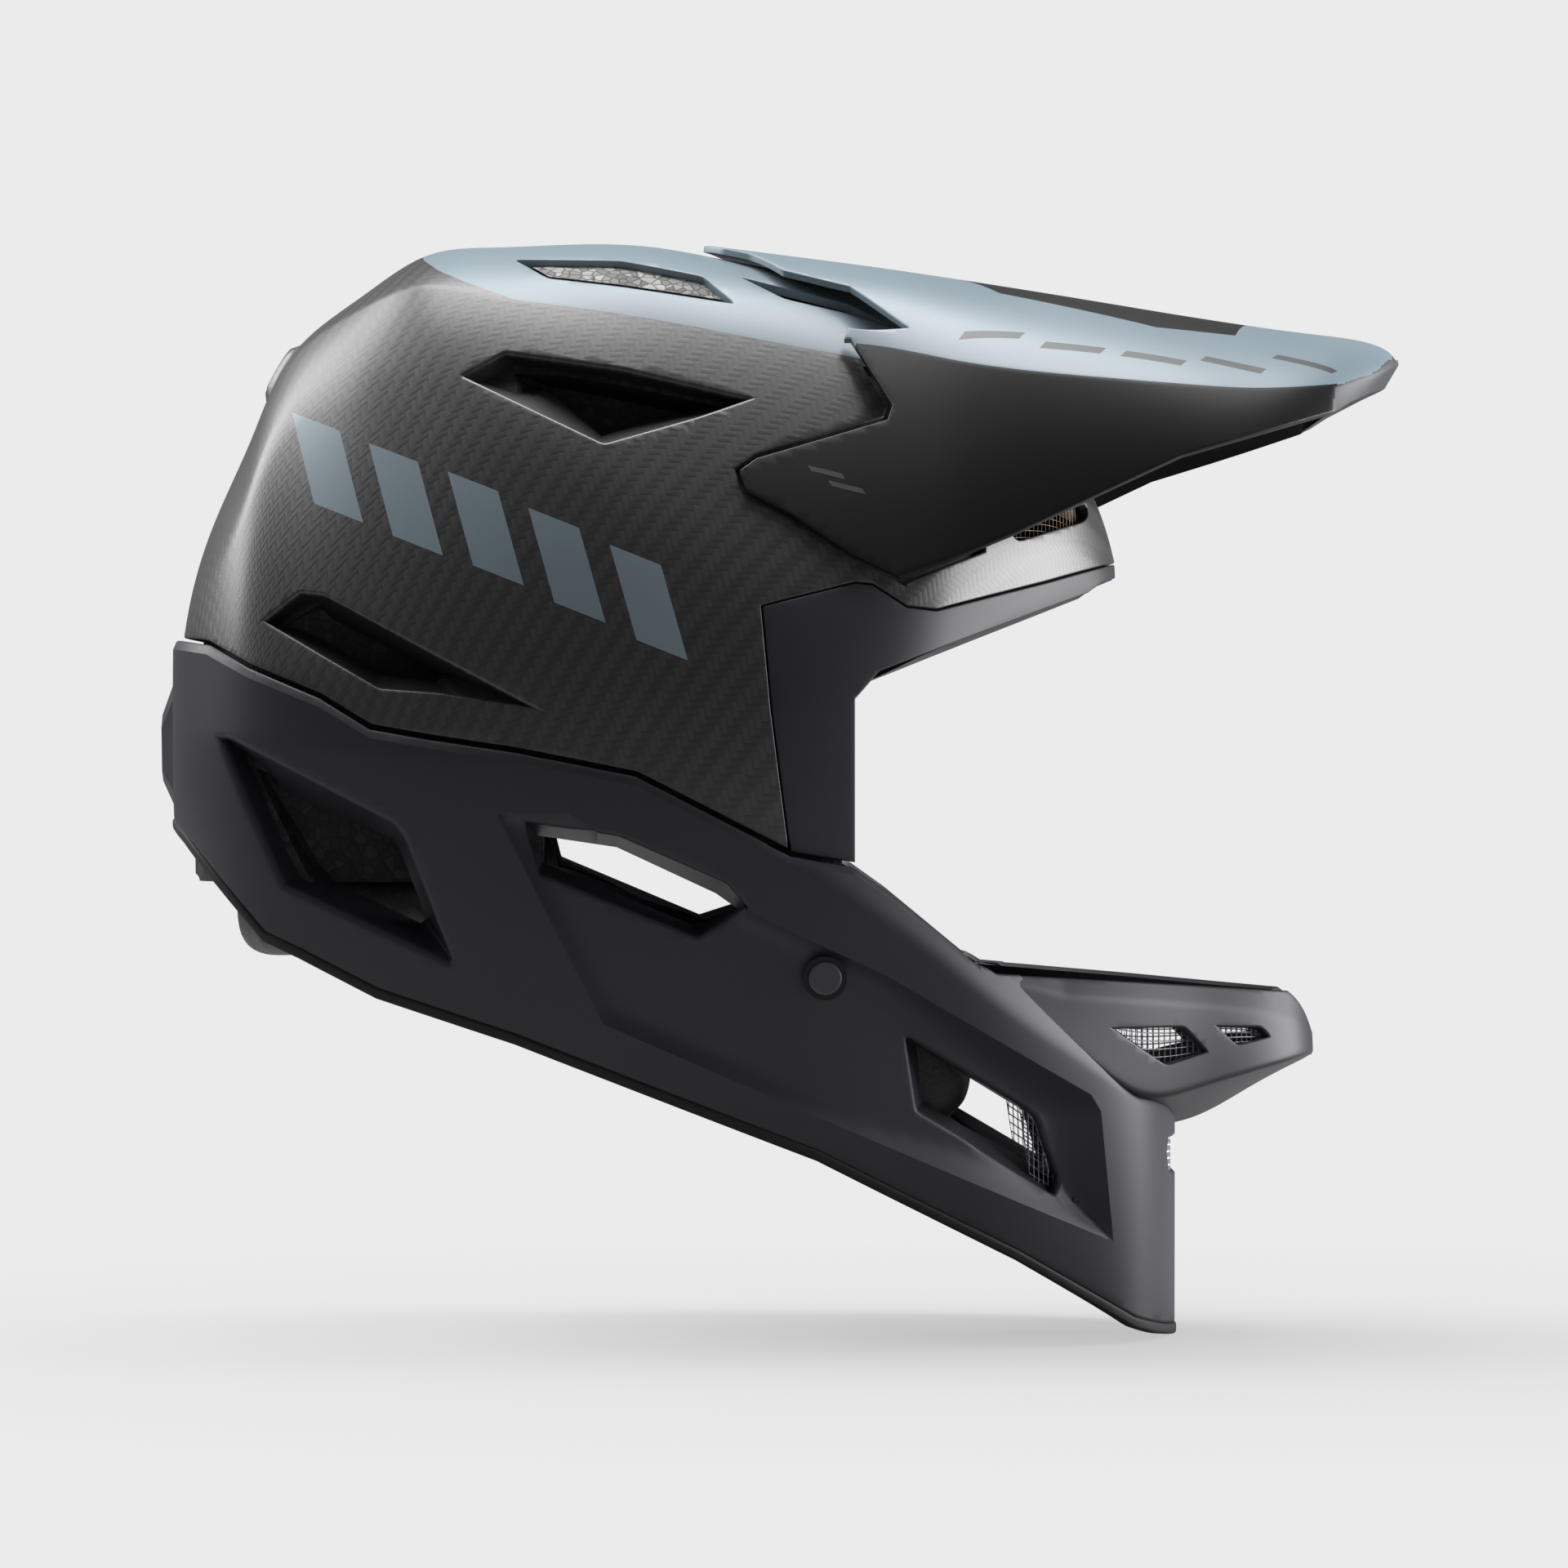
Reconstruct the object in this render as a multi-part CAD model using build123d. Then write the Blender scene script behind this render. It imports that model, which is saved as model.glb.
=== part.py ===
from build123d import *
import os
from math import cos, pi, radians, sin

os.makedirs("parts", exist_ok=True)

# Full face helmet for downhill riding, in the attitude it is worn. Millimetres.
# +X is forward, +Y is the rider's left, +Z is up. The origin is in the middle of
# the head cavity, level with the eyes.

# Driving dimensions
CARBON_WALL = 2.6
PLASTIC_WALL = 2.8
POCKET_FLOOR = 2.6          # depth of the visor pocket under the shell's skin
POCKET_WALL = 1.6
LINER_DEPTH = 5.2           # foam starts this deep under the outer skin
HOLLOW_FLOORS = (62, 83.5, 84)  # y of the foam's floor behind the upper, side and rear vents
LINER_SEAM = 0.1             # half of the joint between the foam's halves
RAISED_DEPTH = 1.8          # inside the crown vents the foam comes this near to the skin
VISOR_WALL = 2.0
TRIM_HEIGHT = 2.5
MESH_THICK = 0.8
VENT_WALL = 1.6
FRAME_WALL = 3.0
PANEL_DEPTH = 1.1           # how far the side panels are sunk
RIVET_RADIUS = 3.0
HEAD_CENTRE = (-6, 0, 14)
HEAD_SEMI = (101, 79, 106)  # half axes of the space inside the foam
PIVOT_X = 55.0
PIVOT_Z = 74.0
PEG_RADIUS = 5.0
PEG_FIT = 0.08
BUSH_RADIUS = 7.5
ANCHOR_X = 52.0
ANCHOR_Z = -71.7
CAP_RADIUS = 5.0
RING_RADIUS = 6.4
STRAP_WIDTH = 22.0
STRAP_THICK = 2.0
STRAP_X = 53.0
STRAP_LOW = -117.0
STRAP_CHANNEL = -104.0      # pads and foam leave room for the strap below this height
BUCKLE_Y = 13.0
SLIDER_END = 34.0           # y where the slider's cover ends
STRAP_CUT = 46.0            # y where the slider's own end of the strap stops
STRAP_GAP = 0.4
PLATE_Y = 104.5
CAP_Y = 113.8
SIDE_REACH = 140.0          # every cut from the side starts this far out
BIG = 400.0

# Stations of the upper form: x, crown height, then y and z of the crown edge,
# of the character line, of the widest point and of the foot of each section.
DOME = [
    (-143, 24, (16, 21), (30, 12), (40, -6), (36, -42)),
    (-140, 44, (26, 39), (48, 26), (60, -4), (55, -48)),
    (-133, 66, (34, 60), (61, 42), (78, 0), (72, -54)),
    (-121, 93, (37, 87), (68, 66), (92, 4), (86, -58)),
    (-104, 122.5, (32, 118), (60, 97), (101, 6), (94, -60)),
    (-88, 134.5, (38, 128), (66, 103), (106, 8), (100, -60)),
    (-69, 146.5, (46, 134.5), (76, 100), (111, 9), (105, -60)),
    (-48, 149, (55, 131), (88, 90.5), (114, 9), (107, -60)),
    (-20, 150, (59, 126.8), (98, 77), (117, 6), (109, -60)),
    (5, 148.4, (60, 122.8), (104, 60.8), (118, -2), (110, -62)),
    (20, 145.6, (59.5, 120), (106, 52), (118, -4), (110, -62)),
    (38, 142, (58.5, 116.5), (107, 44), (116.5, -6), (108, -62)),
    (65, 133.5, (55, 111.5), (101, 43), (108.5, -5), (101, -60)),
    (92, 120, (47, 101), (82, 57), (88.5, 14), (80, -50)),
    (115, 102, (37, 88.5), (56, 63), (62, 28), (56, -40)),
    (130, 82, (24, 75), (36, 60), (41, 35), (37, -30)),
    (138, 64, (14, 60), (22, 52), (26, 37), (23, -20)),
    (141, 53, (8, 51), (12, 46), (14, 37), (12, -12)),
]

# Stations of the lower form: x, then y and z of the seam, of the long ridge under
# it, of the waist and of the rim.
LOWER = [
    (-143.5, (44, 30), (47, 0), (44, -16), (36, -32)),
    (-138.5, (66, 34), (70, -1), (66, -24), (54, -46)),
    (-128, (83, 36), (88, -2), (83, -34), (72, -66)),
    (-113, (96, 36), (100.5, -2), (95, -40), (83, -82)),
    (-81, (106, 30), (111.5, -4), (106, -46), (93, -98)),
    (-46, (112, 25), (117.5, -6), (112, -56), (100, -112)),
    (0, (117, 18), (121.5, -13.5), (115, -66), (103, -128)),
    (42, (115, 0), (119, -36), (113, -80), (101, -142)),
    (75, (106, -20), (109.5, -58), (104, -100), (92, -158)),
    (103, (95, -45), (98, -79), (93, -120), (80, -174)),
    (130, (77, -65), (80, -97), (76, -136), (65, -188)),
    (146, (60, -76), (64, -108), (61, -146), (53, -194)),
    (154, (40, -82), (44, -112), (42, -150), (35, -196)),
    (158.5, (15, -86), (18, -114), (17, -150), (14, -196)),
]

# Stations of the chin guard: x, then y and z of its rim and of its lower ridge,
# and the height of its keel.
GUARD = [
    (98, (96.5, -67), (98, -78), -124),
    (125, (81, -69), (82.5, -93), -122),
    (148, (64.5, -71), (66, -108), -120),
    (165, (51, -72.5), (54, -105.5), -117),
    (182, (39, -74.5), (43, -101), -108),
    (192, (30, -77.5), (34, -98.5), -102.5),
    (198, (21, -84), (24, -97), -99.5),
    (201, (12, -91), (14, -96.5), -97.8),
]

# Stations of the visor: x, height of its middle, then y and z of its shoulder and
# of the foot of its side.
VISOR = [
    (12, 150.2, (61, 124.5), (107.5, 57)),
    (38, 146.9, (60, 118.2), (108.8, 45)),
    (65, 143.4, (59.5, 116), (106, 43.5)),
    (92, 139.4, (72, 110.5), (104.5, 51.5)),
    (132, 133, (79, 105.5), (100, 68)),
    (158, 128.7, (77, 103.5), (94, 79)),
    (180, 125.3, (71, 102.6), (85, 86)),
    (197, 123, (63, 103.6), (74, 89)),
    (209, 121.6, (53, 105), (62, 91)),
    (218, 120, (40, 107), (47, 95)),
    (224.5, 117.3, (25, 110), (29, 100)),
    (226.8, 114.8, (14, 112), (17, 104)),
]

# Outlines in the side view, x and z
SEAM = [
    (-150, 30), (-131, 27), (-118, 20), (-96, 11), (-81, 2), (-64, -1), (-38, -5),
    (-3, -12), (42, -35),
]
PILLAR = [(36.7, 6), (33.8, 37)]
BROW = [(61, 44), (66, 43.5), (76, 37), (85, 36), (118, 45), (146, 53.5)]
PORT = [(146, 49.5), (136.5, 45.9), (132, 42.6), (86, 25), (68, 18), (61, 10), (61, -38)]
CHIN_TOP = [(61, -38), (73, -46.5), (97.5, -66.6), (103, -70), (148, -73.2), (190, -76.5), (215, -78)]
RIM = [
    (215, -200), (160, -182.5), (145, -177.5), (109, -156), (50, -125.7), (-38.7, -91.5),
    (-79.6, -78.3), (-103, -66.5), (-113.5, -61.8), (-139, -33), (-155, -20),
]
UPPER_VENT = [(-57, 106), (-43, 114), (-8, 109), (32.5, 99.5), (15, 93), (-13, 84.5)]
UPPER_VENT_HOLE = [(-31, 102.5), (-22, 101.5), (9, 95.5), (-14, 88)]
SIDE_VENT = [(-115, 33), (-103, 42.5), (-95, 41.5), (-28, 5.5), (-60, 10.5), (-79, 12)]
SIDE_VENT_HOLE = [(-103, 31.5), (-96, 35), (-60, 17), (-62, 15), (-79, 17)]
CROWN_VENT = [(-42, 143.5), (-31, 136.7), (-9, 134), (26, 128.8), (16, 138), (-9, 143)]
FRONT_VENT = [(26, 138.5), (40, 131), (60, 126.5), (76, 121.5), (60, 130)]
BROW_VENT = [(107.5, 59), (131.5, 70.6), (132.5, 66.5), (131, 64), (110, 57)]
REAR_VENT = [(-129, 0), (-124, 0.5), (-73, -25.5), (-69.5, -30), (-55.5, -66.5), (-57, -69.5), (-108.5, -46)]
REAR_VENT_HOLE = [(-109, -16), (-75, -31), (-73, -34), (-65, -54.5), (-67, -56), (-93, -44)]
CHEEK_VENT = [(-37, -25), (-8, -29), (24, -43), (31, -51), (15, -61), (-32, -42)]
CHEEK_VENT_HOLE = [(-33, -30), (-9, -33.5), (20, -47), (27, -52), (13, -56.5), (-31, -38)]
MOUTH_VENT = [(74.5, -89), (77, -88), (112, -109.5), (116, -113), (122.5, -133), (121, -138), (78, -112)]
MOUTH_VENT_HOLE = [(79, -92), (111, -112), (114.5, -115.5), (119, -131), (80.5, -109)]
CHIN_VENT_REAR = [(136, -87), (160, -87), (168, -95.5), (154, -99.5)]
CHIN_VENT_FRONT = [(168.5, -87), (184, -87.5), (187.5, -91.5), (176, -94)]
SIDE_PANEL = [
    (-44, -23), (-23, -23.5), (29, -52), (70, -71), (131, -107), (134, -112), (138, -151), (-13, -85),
]
WING = [
    (74, 45.6), (60, 52.6), (42, 64.5), (29, 71.2), (27, 77.5), (31.9, 81.2), (70.6, 93.2),
    (72, 97.5), (60, 118),
]
WING_FOOT = [(240, 104), (205.3, 96.3), (196.8, 93.8), (157, 81.8), (108, 58.7), (88.5, 50.7)]
POCKET = [
    (53, 116), (69.5, 98.5), (68, 95), (31, 83.7), (24.2, 78.5), (26.6, 70), (41, 62),
    (58, 50.5), (73, 43), (86, 58), (90, 92), (72, 115),
]
LINER_EDGE = [
    (-155, -44), (57, -44), (57, 12), (65, 21), (84, 29), (131, 47.5), (150, 54), (150, 200), (-155, 200),
]
# Outline in the front view, y and z: the left half of the opening under the guard
FRONT_VENT_HALF = [(-1, -121), (34, -121), (38, -126), (33, -132.5), (-1, -134)]

# Outline in the plan view, x and y: what is cut away behind the visor's tongue
TONGUE_BACK = [
    (-10, 0), (15, 0), (21, 11), (30, 18), (40, 32), (60, 37), (77, 56), (59, 54), (56, 64),
    (56, 130), (-10, 130),
]


CHEEK_AIR = [(-36, -28), (-8, -31), (22, -44), (33, -50), (33, -60), (-36, -60)]
FRONT_MESH = [(140, -115), (170, -115), (170, -136), (140, -136)]
CHIN_MESH = [(132, -84), (191, -85), (189, -94), (176, -97), (153, -103), (134, -95)]
MOUTH_MESH = [(109, -106), (122, -111), (128, -137), (113, -133)]
BROW_MESH = [(104, 60), (130, 73), (136, 70), (134, 62), (108, 53)]
STRAP_RIGHT = [(-103, -86), (-99, -106), (-88, STRAP_LOW), (-2.2, STRAP_LOW)]
STRAP_LEFT = [(103, -86), (100, -101), (90, -109.3), (STRAP_CUT, -109.3)]
SNAP_PLACES = [(-18, -78), (20, -84), (58, -92)]

# Vents with sloped walls: mouth, hole, how far in the hole is, and the walls' depth
UPPER_PASSAGES = [(UPPER_VENT, UPPER_VENT_HOLE, 60, 13), (SIDE_VENT, SIDE_VENT_HOLE, 84, 12)]
LOWER_PASSAGES = [
    (REAR_VENT, REAR_VENT_HOLE, 124, 84, 12),
    (CHEEK_VENT, CHEEK_VENT_HOLE, 124, 96, 14),
    (MOUTH_VENT, MOUTH_VENT_HOLE, 110, 76, 10),
]


def bulged(a, b, rise):
    """The middle of an arc from a to b that stands out by rise times its length."""
    (ya, za), (yb, zb) = a, b
    return ((ya + yb) / 2 - (zb - za) * rise, (za + zb) / 2 + (yb - ya) * rise)


def crown_middle(top, edge):
    """A point on the arc that leaves the top level and ends at the edge."""
    fall = top[1] - edge[1]
    radius = (edge[0] ** 2 + fall ** 2) / (2 * fall)
    across = edge[0] / 2
    return (across, top[1] - radius + (radius ** 2 - across ** 2) ** 0.5)


def drawn_in(stations, inset):
    """x of each station when the form is made smaller by inset at both ends."""
    first, last = stations[0][0], stations[-1][0]
    middle, half = (first + last) / 2, (last - first) / 2
    return [middle + (row[0] - middle) * (half - inset) / half for row in stations]


def half_section(x, corners):
    """The left half of a section at x: corners is a list of (point, middle of the arc to the next or None)."""
    edges = []
    for (a, middle), (b, _) in zip(corners, corners[1:]):
        start, end = (x, *a), (x, *b)
        if middle is None:
            edges.append(Edge.make_line(start, end))
        else:
            edges.append(Edge.make_three_point_arc(start, (x, *middle), end))
    top, foot = corners[0][0], corners[-1][0]
    edges.append(Edge.make_line((x, *foot), (x, 0, foot[1])))
    edges.append(Edge.make_line((x, 0, foot[1]), (x, 0, top[1])))
    if top[0] > 0:
        edges.append(Edge.make_line((x, 0, top[1]), (x, *top)))
    return Wire.combine(edges)[0]


def dome(inset=0.0):
    """The left half of the smooth upper form, made smaller by inset all round."""
    sections = []
    stations = [row for row in DOME if row[-1][0] > inset + 2]
    for x, (_, crown, a, b, w, d) in zip(drawn_in(stations, inset), stations):
        top = (0, crown - inset)
        a = (a[0] - 0.6 * inset, a[1] - 0.8 * inset)
        b = (b[0] - 0.85 * inset, b[1] - 0.5 * inset)
        w = (w[0] - inset, w[1])
        d = (d[0] - inset, d[1])
        corners = [(top, crown_middle(top, a)), (a, bulged(b, a, -0.04)), (b, bulged(w, b, -0.05))]
        corners += [(w, bulged(d, w, -0.03)), (d, None)]
        sections.append(half_section(x, corners))
    return Solid.make_loft(sections)


def lower(inset=0.0, beyond=0.0):
    """The left half of the lower form; beyond lengthens it up and down, so that it cuts right through."""
    sections = []
    stations = [row for row in LOWER if row[-1][0] > inset + 2]
    for x, (_, s, g, m, r) in zip(drawn_in(stations, inset), stations):
        s = (s[0] - inset, s[1])
        g = (g[0] - inset, g[1])
        r = (r[0] - inset, r[1])
        corners = [(s, None), (g, (m[0] - inset, m[1])), (r, None)]
        if beyond:
            corners = [((s[0], s[1] + beyond), None), *corners, ((r[0], r[1] - beyond), None)]
        sections.append(half_section(x, corners))
    return Solid.make_loft(sections)


def guard(inset=0.0, beyond=0.0):
    """The left half of the chin guard's form, with its rim raised by beyond."""
    sections = []
    for x, (_, p, g, keel) in zip(drawn_in(GUARD, inset), GUARD):
        p = (p[0] - inset * 0.9, p[1] + beyond)
        g = (g[0] - inset * 0.9, g[1] + inset * 0.4)
        sections.append(half_section(x, [(p, None), (g, None), ((1.0, keel + inset), None)]))
    return Solid.make_loft(sections, ruled=True)


def visor_form(inset=0.0, beyond=0.0):
    """The left half of the visor's form, with the feet of its sides lowered by beyond."""
    sections = []
    for x, (_, top, r, e) in zip(drawn_in(VISOR, inset), VISOR):
        t = (0, top - inset)
        r = (r[0] - 0.6 * inset, r[1] - 0.8 * inset)
        e = (e[0] - inset, e[1])
        corners = [(t, crown_middle(t, r)), (r, bulged(e, r, -0.04)), (e, None)]
        if beyond:
            slope = (e[0] - r[0]) / (r[1] - e[1])
            corners.append(((e[0] + slope * beyond, e[1] - beyond), None))
        sections.append(half_section(x, corners))
    return Solid.make_loft(sections)


def outline(points, y):
    return Wire.make_polygon([(x, y, z) for x, z in points], close=True)


def wider(points, y, by):
    """An outline at y, moved outwards by a distance."""
    return outline(points, y).offset_2d(by, kind=Kind.INTERSECTION)


def prism(points, y_from=-1.0, y_to=SIDE_REACH):
    """A side view outline carried across the left half."""
    return extrude(Face(outline(points, y_from)), amount=y_to - y_from, dir=(0, 1, 0))


def passage(mouth, hole, y_mouth, y_hole, wall=0.0):
    """A tapering passage from its mouth in to its hole, or that passage with its walls."""
    ends = [outline(mouth, y_mouth), outline(hole, y_hole)]
    if wall:
        ends = [wider(mouth, y_mouth, wall), wider(hole, y_hole, wall)]
    return loft([Face(end) for end in ends], ruled=True)


def rod(x, z, radius, y_from, y_to):
    """A cylinder across the helmet."""
    disc = Face(Wire.make_circle(radius, Plane(origin=(x, y_from, z), z_dir=(0, 1, 0))))
    return extrude(disc, amount=y_to - y_from, dir=(0, 1, 0))


def block(x0, x1, y0, y1, z0, z1):
    return Pos((x0 + x1) / 2, (y0 + y1) / 2, (z0 + z1) / 2) * Box(x1 - x0, y1 - y0, z1 - z0)


def whole(half):
    """Both halves as one piece."""
    return half + half.mirror(Plane.XZ)


def pair(left):
    """A piece on the left and its mirror image on the right."""
    return [left, left.mirror(Plane.XZ)]


def save(name, *shapes):
    solids = [solid for shape in shapes for solid in shape.solids()]
    result = solids[0] if len(solids) == 1 else Compound(children=solids)
    result.label = name
    export_step(result, f"parts/{name}.step")
    print(name, len(solids), all(solid.is_valid for solid in solids))


def head_space():
    """The space that the foam leaves for the head: a dome of ovals on an open shaft."""
    length, width, height = HEAD_SEMI
    ovals = []
    for angle in (0, 15, 30, 45, 60, 72, 82):
        level = Plane((0, 0, height * sin(radians(angle))))
        ovals.append(level * Ellipse(length * cos(radians(angle)), width * cos(radians(angle))))
    shaft = extrude(Ellipse(length, width), amount=-BIG)
    return [Pos(*HEAD_CENTRE) * loft(ovals), Pos(*HEAD_CENTRE) * shaft]


def carbon_shell(skin):
    """The woven shell: skin, vent walls, and the pocket that the visor's wing nests in."""
    above = SEAM + PILLAR + BROW + [(146, 200), (-150, 200)]
    cover = skin & prism(above)
    nest = prism(POCKET, 30)
    edge = extrude(Face(wider(POCKET, 30, POCKET_WALL)), amount=SIDE_REACH, dir=(0, 1, 0))
    shell = (cover - dome(CARBON_WALL)) - edge
    pocket = ((cover & edge) - dome(POCKET_FLOOR + POCKET_WALL)) - (nest - dome(POCKET_FLOOR))
    shell = shell + pocket
    for mouth, hole, y_hole, depth in UPPER_PASSAGES:
        walls = (cover & passage(mouth, hole, 114, y_hole, VENT_WALL)) - dome(depth)
        shell = (shell + walls) - passage(mouth, hole, 114, y_hole)
    slots = [prism(CROWN_VENT, 20), prism(FRONT_VENT, 20), prism(BROW_VENT, 10)]
    return whole(shell - slots - rod(PIVOT_X, PIVOT_Z, BUSH_RADIUS, 60, 110))


def eyeport_frame(skin):
    """The frame round the eye port: a face level with the shell and a lip turned inwards."""
    ring = [(42, -35)] + PILLAR + BROW + PORT
    face = (skin & prism(ring)) - dome(FRAME_WALL)
    lip_outline = PORT[1:] + [(58.5, -38), (58.5, 11), (66.5, 20), (85, 27.5), (133, 46), (137, 50)]
    lip = (dome(FRAME_WALL - 0.1) & prism(lip_outline)) - dome(9.5)
    return whole(face + lip)


def lower_shell():
    """The moulded lower shell with the chin guard, its vents and its sunk side panels."""
    bottom = [(x, z + TRIM_HEIGHT) for x, z in RIM]
    edge = prism(SEAM + CHIN_TOP + bottom)
    body = lower() & edge
    nose = guard() & edge
    shell = (body - lower(PLASTIC_WALL, 20)) + (nose - lower(0.5, 20))
    shell = shell - guard(PLASTIC_WALL, 30)
    for mouth, hole, y_mouth, y_hole, depth in LOWER_PASSAGES:
        walls = (body & passage(mouth, hole, y_mouth, y_hole, VENT_WALL)) - lower(depth, 20)
        shell = (shell + walls) - passage(mouth, hole, y_mouth, y_hole)
    dent = prism(SIDE_PANEL, 40) - lower(PANEL_DEPTH, 20)
    rivet = rod(ANCHOR_X, ANCHOR_Z, RIVET_RADIUS + 0.1, 95, 130)
    front = Face(Wire.make_polygon([(140, y, z) for y, z in FRONT_VENT_HALF], close=True))
    front = extrude(front, amount=40, dir=(1, 0, 0))
    return whole(shell - [prism(CHIN_VENT_REAR, 25), prism(CHIN_VENT_FRONT, 6), dent, rivet, front])


def edge_trim():
    """The soft edging under the lower shell's rim."""
    high = [(x, z + TRIM_HEIGHT) for x, z in reversed(RIM)]
    return whole((lower(-0.6) & prism(RIM + high)) - lower(3.4, 20))


def rear_centre_panel():
    """The bump low on the back: six-sided, narrowing to a flat middle."""
    base = [(0, 21), (17, 21), (27, 14), (22, -20), (13, -26), (0, -26)]
    middle = [(0, 6), (11, 6), (15, 2), (12.5, -11), (8, -14), (0, -14)]
    faces = []
    for x, side in ((-143.6, base), (-149.4, middle)):
        faces.append(Face(Wire.make_polygon([(x, y, z) for y, z in side], close=True)))
    return whole(loft(faces, ruled=True))


def visor():
    """The visor: a thin shell with a tongue at the back and a wing each side."""
    side = [(10, 118), (10, 160), (240, 160)] + WING_FOOT + WING
    skin = (visor_form() & prism(side)) - visor_form(VISOR_WALL, 45)
    back = extrude(Face(Wire.make_polygon([(x, y, 100) for x, y in TONGUE_BACK], close=True)), amount=70)
    return whole(skin - back)


def visor_pegs(blade):
    peg = rod(PIVOT_X, PIVOT_Z, PEG_RADIUS, 73, 92) - blade
    return pair(peg.solids().sort_by(Axis.Y)[0])


def pivot_bushes():
    bore = rod(PIVOT_X, PIVOT_Z, PEG_RADIUS + PEG_FIT, 60, 100)
    bush = rod(PIVOT_X, PIVOT_Z, BUSH_RADIUS - 0.02, 70, 80.8) - bore
    return pair(bush)


def head_liner(space):
    """The upper shell's foam in two halves, hollowed behind the vents and raised in the crown vents."""
    liner = (dome(LINER_DEPTH) & prism(LINER_EDGE)) - space
    rear, cheek = LOWER_PASSAGES[:2]
    hollows = [(mouth, hole, 114, y_hole) for mouth, hole, y_hole, _ in UPPER_PASSAGES] + [rear[:4]]
    for hollow, floor_y in zip(hollows, HOLLOW_FLOORS):
        liner = liner - (passage(*hollow, VENT_WALL + 0.5) & block(-BIG, BIG, floor_y, BIG, -BIG, BIG))
    liner = liner - passage(*cheek[:4], VENT_WALL + 0.5)
    raised = extrude(Face(wider(CROWN_VENT, 24, -1.0)), amount=SIDE_REACH, dir=(0, 1, 0))
    liner = liner + ((dome(RAISED_DEPTH) & raised) - dome(LINER_DEPTH + 1))
    liner = liner - prism(CHEEK_AIR, 20)
    liner = liner - [prism(BROW_VENT, 8), rod(PIVOT_X, PIVOT_Z, BUSH_RADIUS + 1.0, 50, 130)]
    return pair(liner & block(-BIG, BIG, LINER_SEAM, BIG, -BIG, BIG))


def cheek_foam():
    """Foam between the lower shell and each cheek pad, with a channel for the strap."""
    side = [(-36, -63), (12, -62), (33, -57), (62, -46), (73, -60), (72, -128), (50, -119), (-36, -86)]
    foam = (lower(4.4) & prism(side)) - lower(21)
    channel = block(STRAP_X - 13, STRAP_X + 13, 95, SIDE_REACH, -135, -62)
    return foam - channel - block(STRAP_X - 13, STRAP_X + 13, 60, SIDE_REACH, -140, STRAP_CHANNEL)


def chin_foam():
    side = [(126, -138), (160, -138), (160, -171), (126, -156)]
    return whole((lower(4.4) & prism(side)) - lower(17))


def pad_section(plane, thick, wide):
    """A pad's section on a plane whose x points at the head: crowned in front, drawn in at its edges."""
    back, front, half = -thick / 2, thick / 2, wide / 2
    points = [(back, -half * 0.8), (back * 0.2, -half), (front * 0.75, -half * 0.7), (front, 0)]
    points += [(front * 0.75, half * 0.7), (back * 0.2, half), (back, half * 0.8), (back * 1.1, 0)]
    return plane * make_face(Spline(*points, periodic=True))


def swept_pad(semi_x, semi_y, z, angles, thick, wide, swell=0.0):
    """A pad bent round the head on an oval at height z, between two angles from the front."""
    start, end = angles
    count = 9
    sections = []
    for i in range(count):
        share = i / (count - 1)
        angle = start + (end - start) * share
        x, y = semi_x * cos(radians(angle)), semi_y * sin(radians(angle))
        inward = Vector(-x / semi_x ** 2, -y / semi_y ** 2, 0)
        plane = Plane((HEAD_CENTRE[0] + x, y, z), x_dir=inward, z_dir=Vector(0, 0, 1).cross(inward))
        taper = 0.45 + 0.55 * sin(pi * min(max(share, 0.06), 0.94)) ** 0.5
        groove = 1 - swell * (i % 4 == 2)
        sections.append(pad_section(plane, thick * taper * groove, wide * taper))
    return loft(sections)


def brow_pad():
    return swept_pad(83, 63, 39, (-60, 60), 12, 30)


def neck_roll():
    return swept_pad(107, 86, -56, (118, 242), 24, 21)


def crown_pad():
    """A padded strip over the top of the head, from the brow to the back."""
    sections = []
    count = 9
    for i in range(count):
        share = i / (count - 1)
        angle = 28 + 124 * share
        radius_x, radius_z = HEAD_SEMI[0] - 13, HEAD_SEMI[2] - 13
        x, z = radius_x * cos(radians(angle)), radius_z * sin(radians(angle))
        inward = Vector(-x / radius_x ** 2, 0, -z / radius_z ** 2)
        centre = (HEAD_CENTRE[0] + x, 0, HEAD_CENTRE[2] + z)
        plane = Plane(centre, x_dir=inward, z_dir=Vector(0, 1, 0).cross(inward))
        taper = 0.5 + 0.5 * sin(pi * min(max(share, 0.06), 0.94)) ** 0.5
        sections.append(pad_section(plane, 10 * taper, 52 * taper))
    return loft(sections)


def cheek_pad():
    """The left cheek pad: an outline lofted inwards, swelling and then drawing in to its crown."""
    side = [
        (-34, -66), (12, -64), (40, -59), (66, -60), (83, -76), (87, -106), (75, -118),
        (20, -112), (-30, -90),
    ]
    levels = [(82, -3), (77, 0), (69, 0.5), (61, -4), (56, -12)]
    pad = loft([Face(wider(side, y, by)) for y, by in levels])
    pad = Pos(30, 0, 0) * Rot(0, 0, -7) * Pos(-30, 0, 0) * pad
    return pad - block(STRAP_X - 13, STRAP_X + 13, 30, SIDE_REACH, -140, STRAP_CHANNEL)


def webbing(points, radius, x_from, x_to):
    """Flat webbing along a route across the helmet, y and z, as wide as x_from to x_to."""
    route = FilletPolyline(*[(x_from, y, z) for y, z in points], radius=radius)
    start = Plane(origin=route @ 0, x_dir=(1, 0, 0), z_dir=route % 0)
    section = start * Pos((x_to - x_from) / 2, 0) * Rectangle(x_to - x_from, STRAP_THICK)
    return sweep(section, path=route)


def strap_right():
    return webbing(STRAP_RIGHT, 10, STRAP_X - STRAP_WIDTH / 2, STRAP_X + STRAP_WIDTH / 2)


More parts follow.
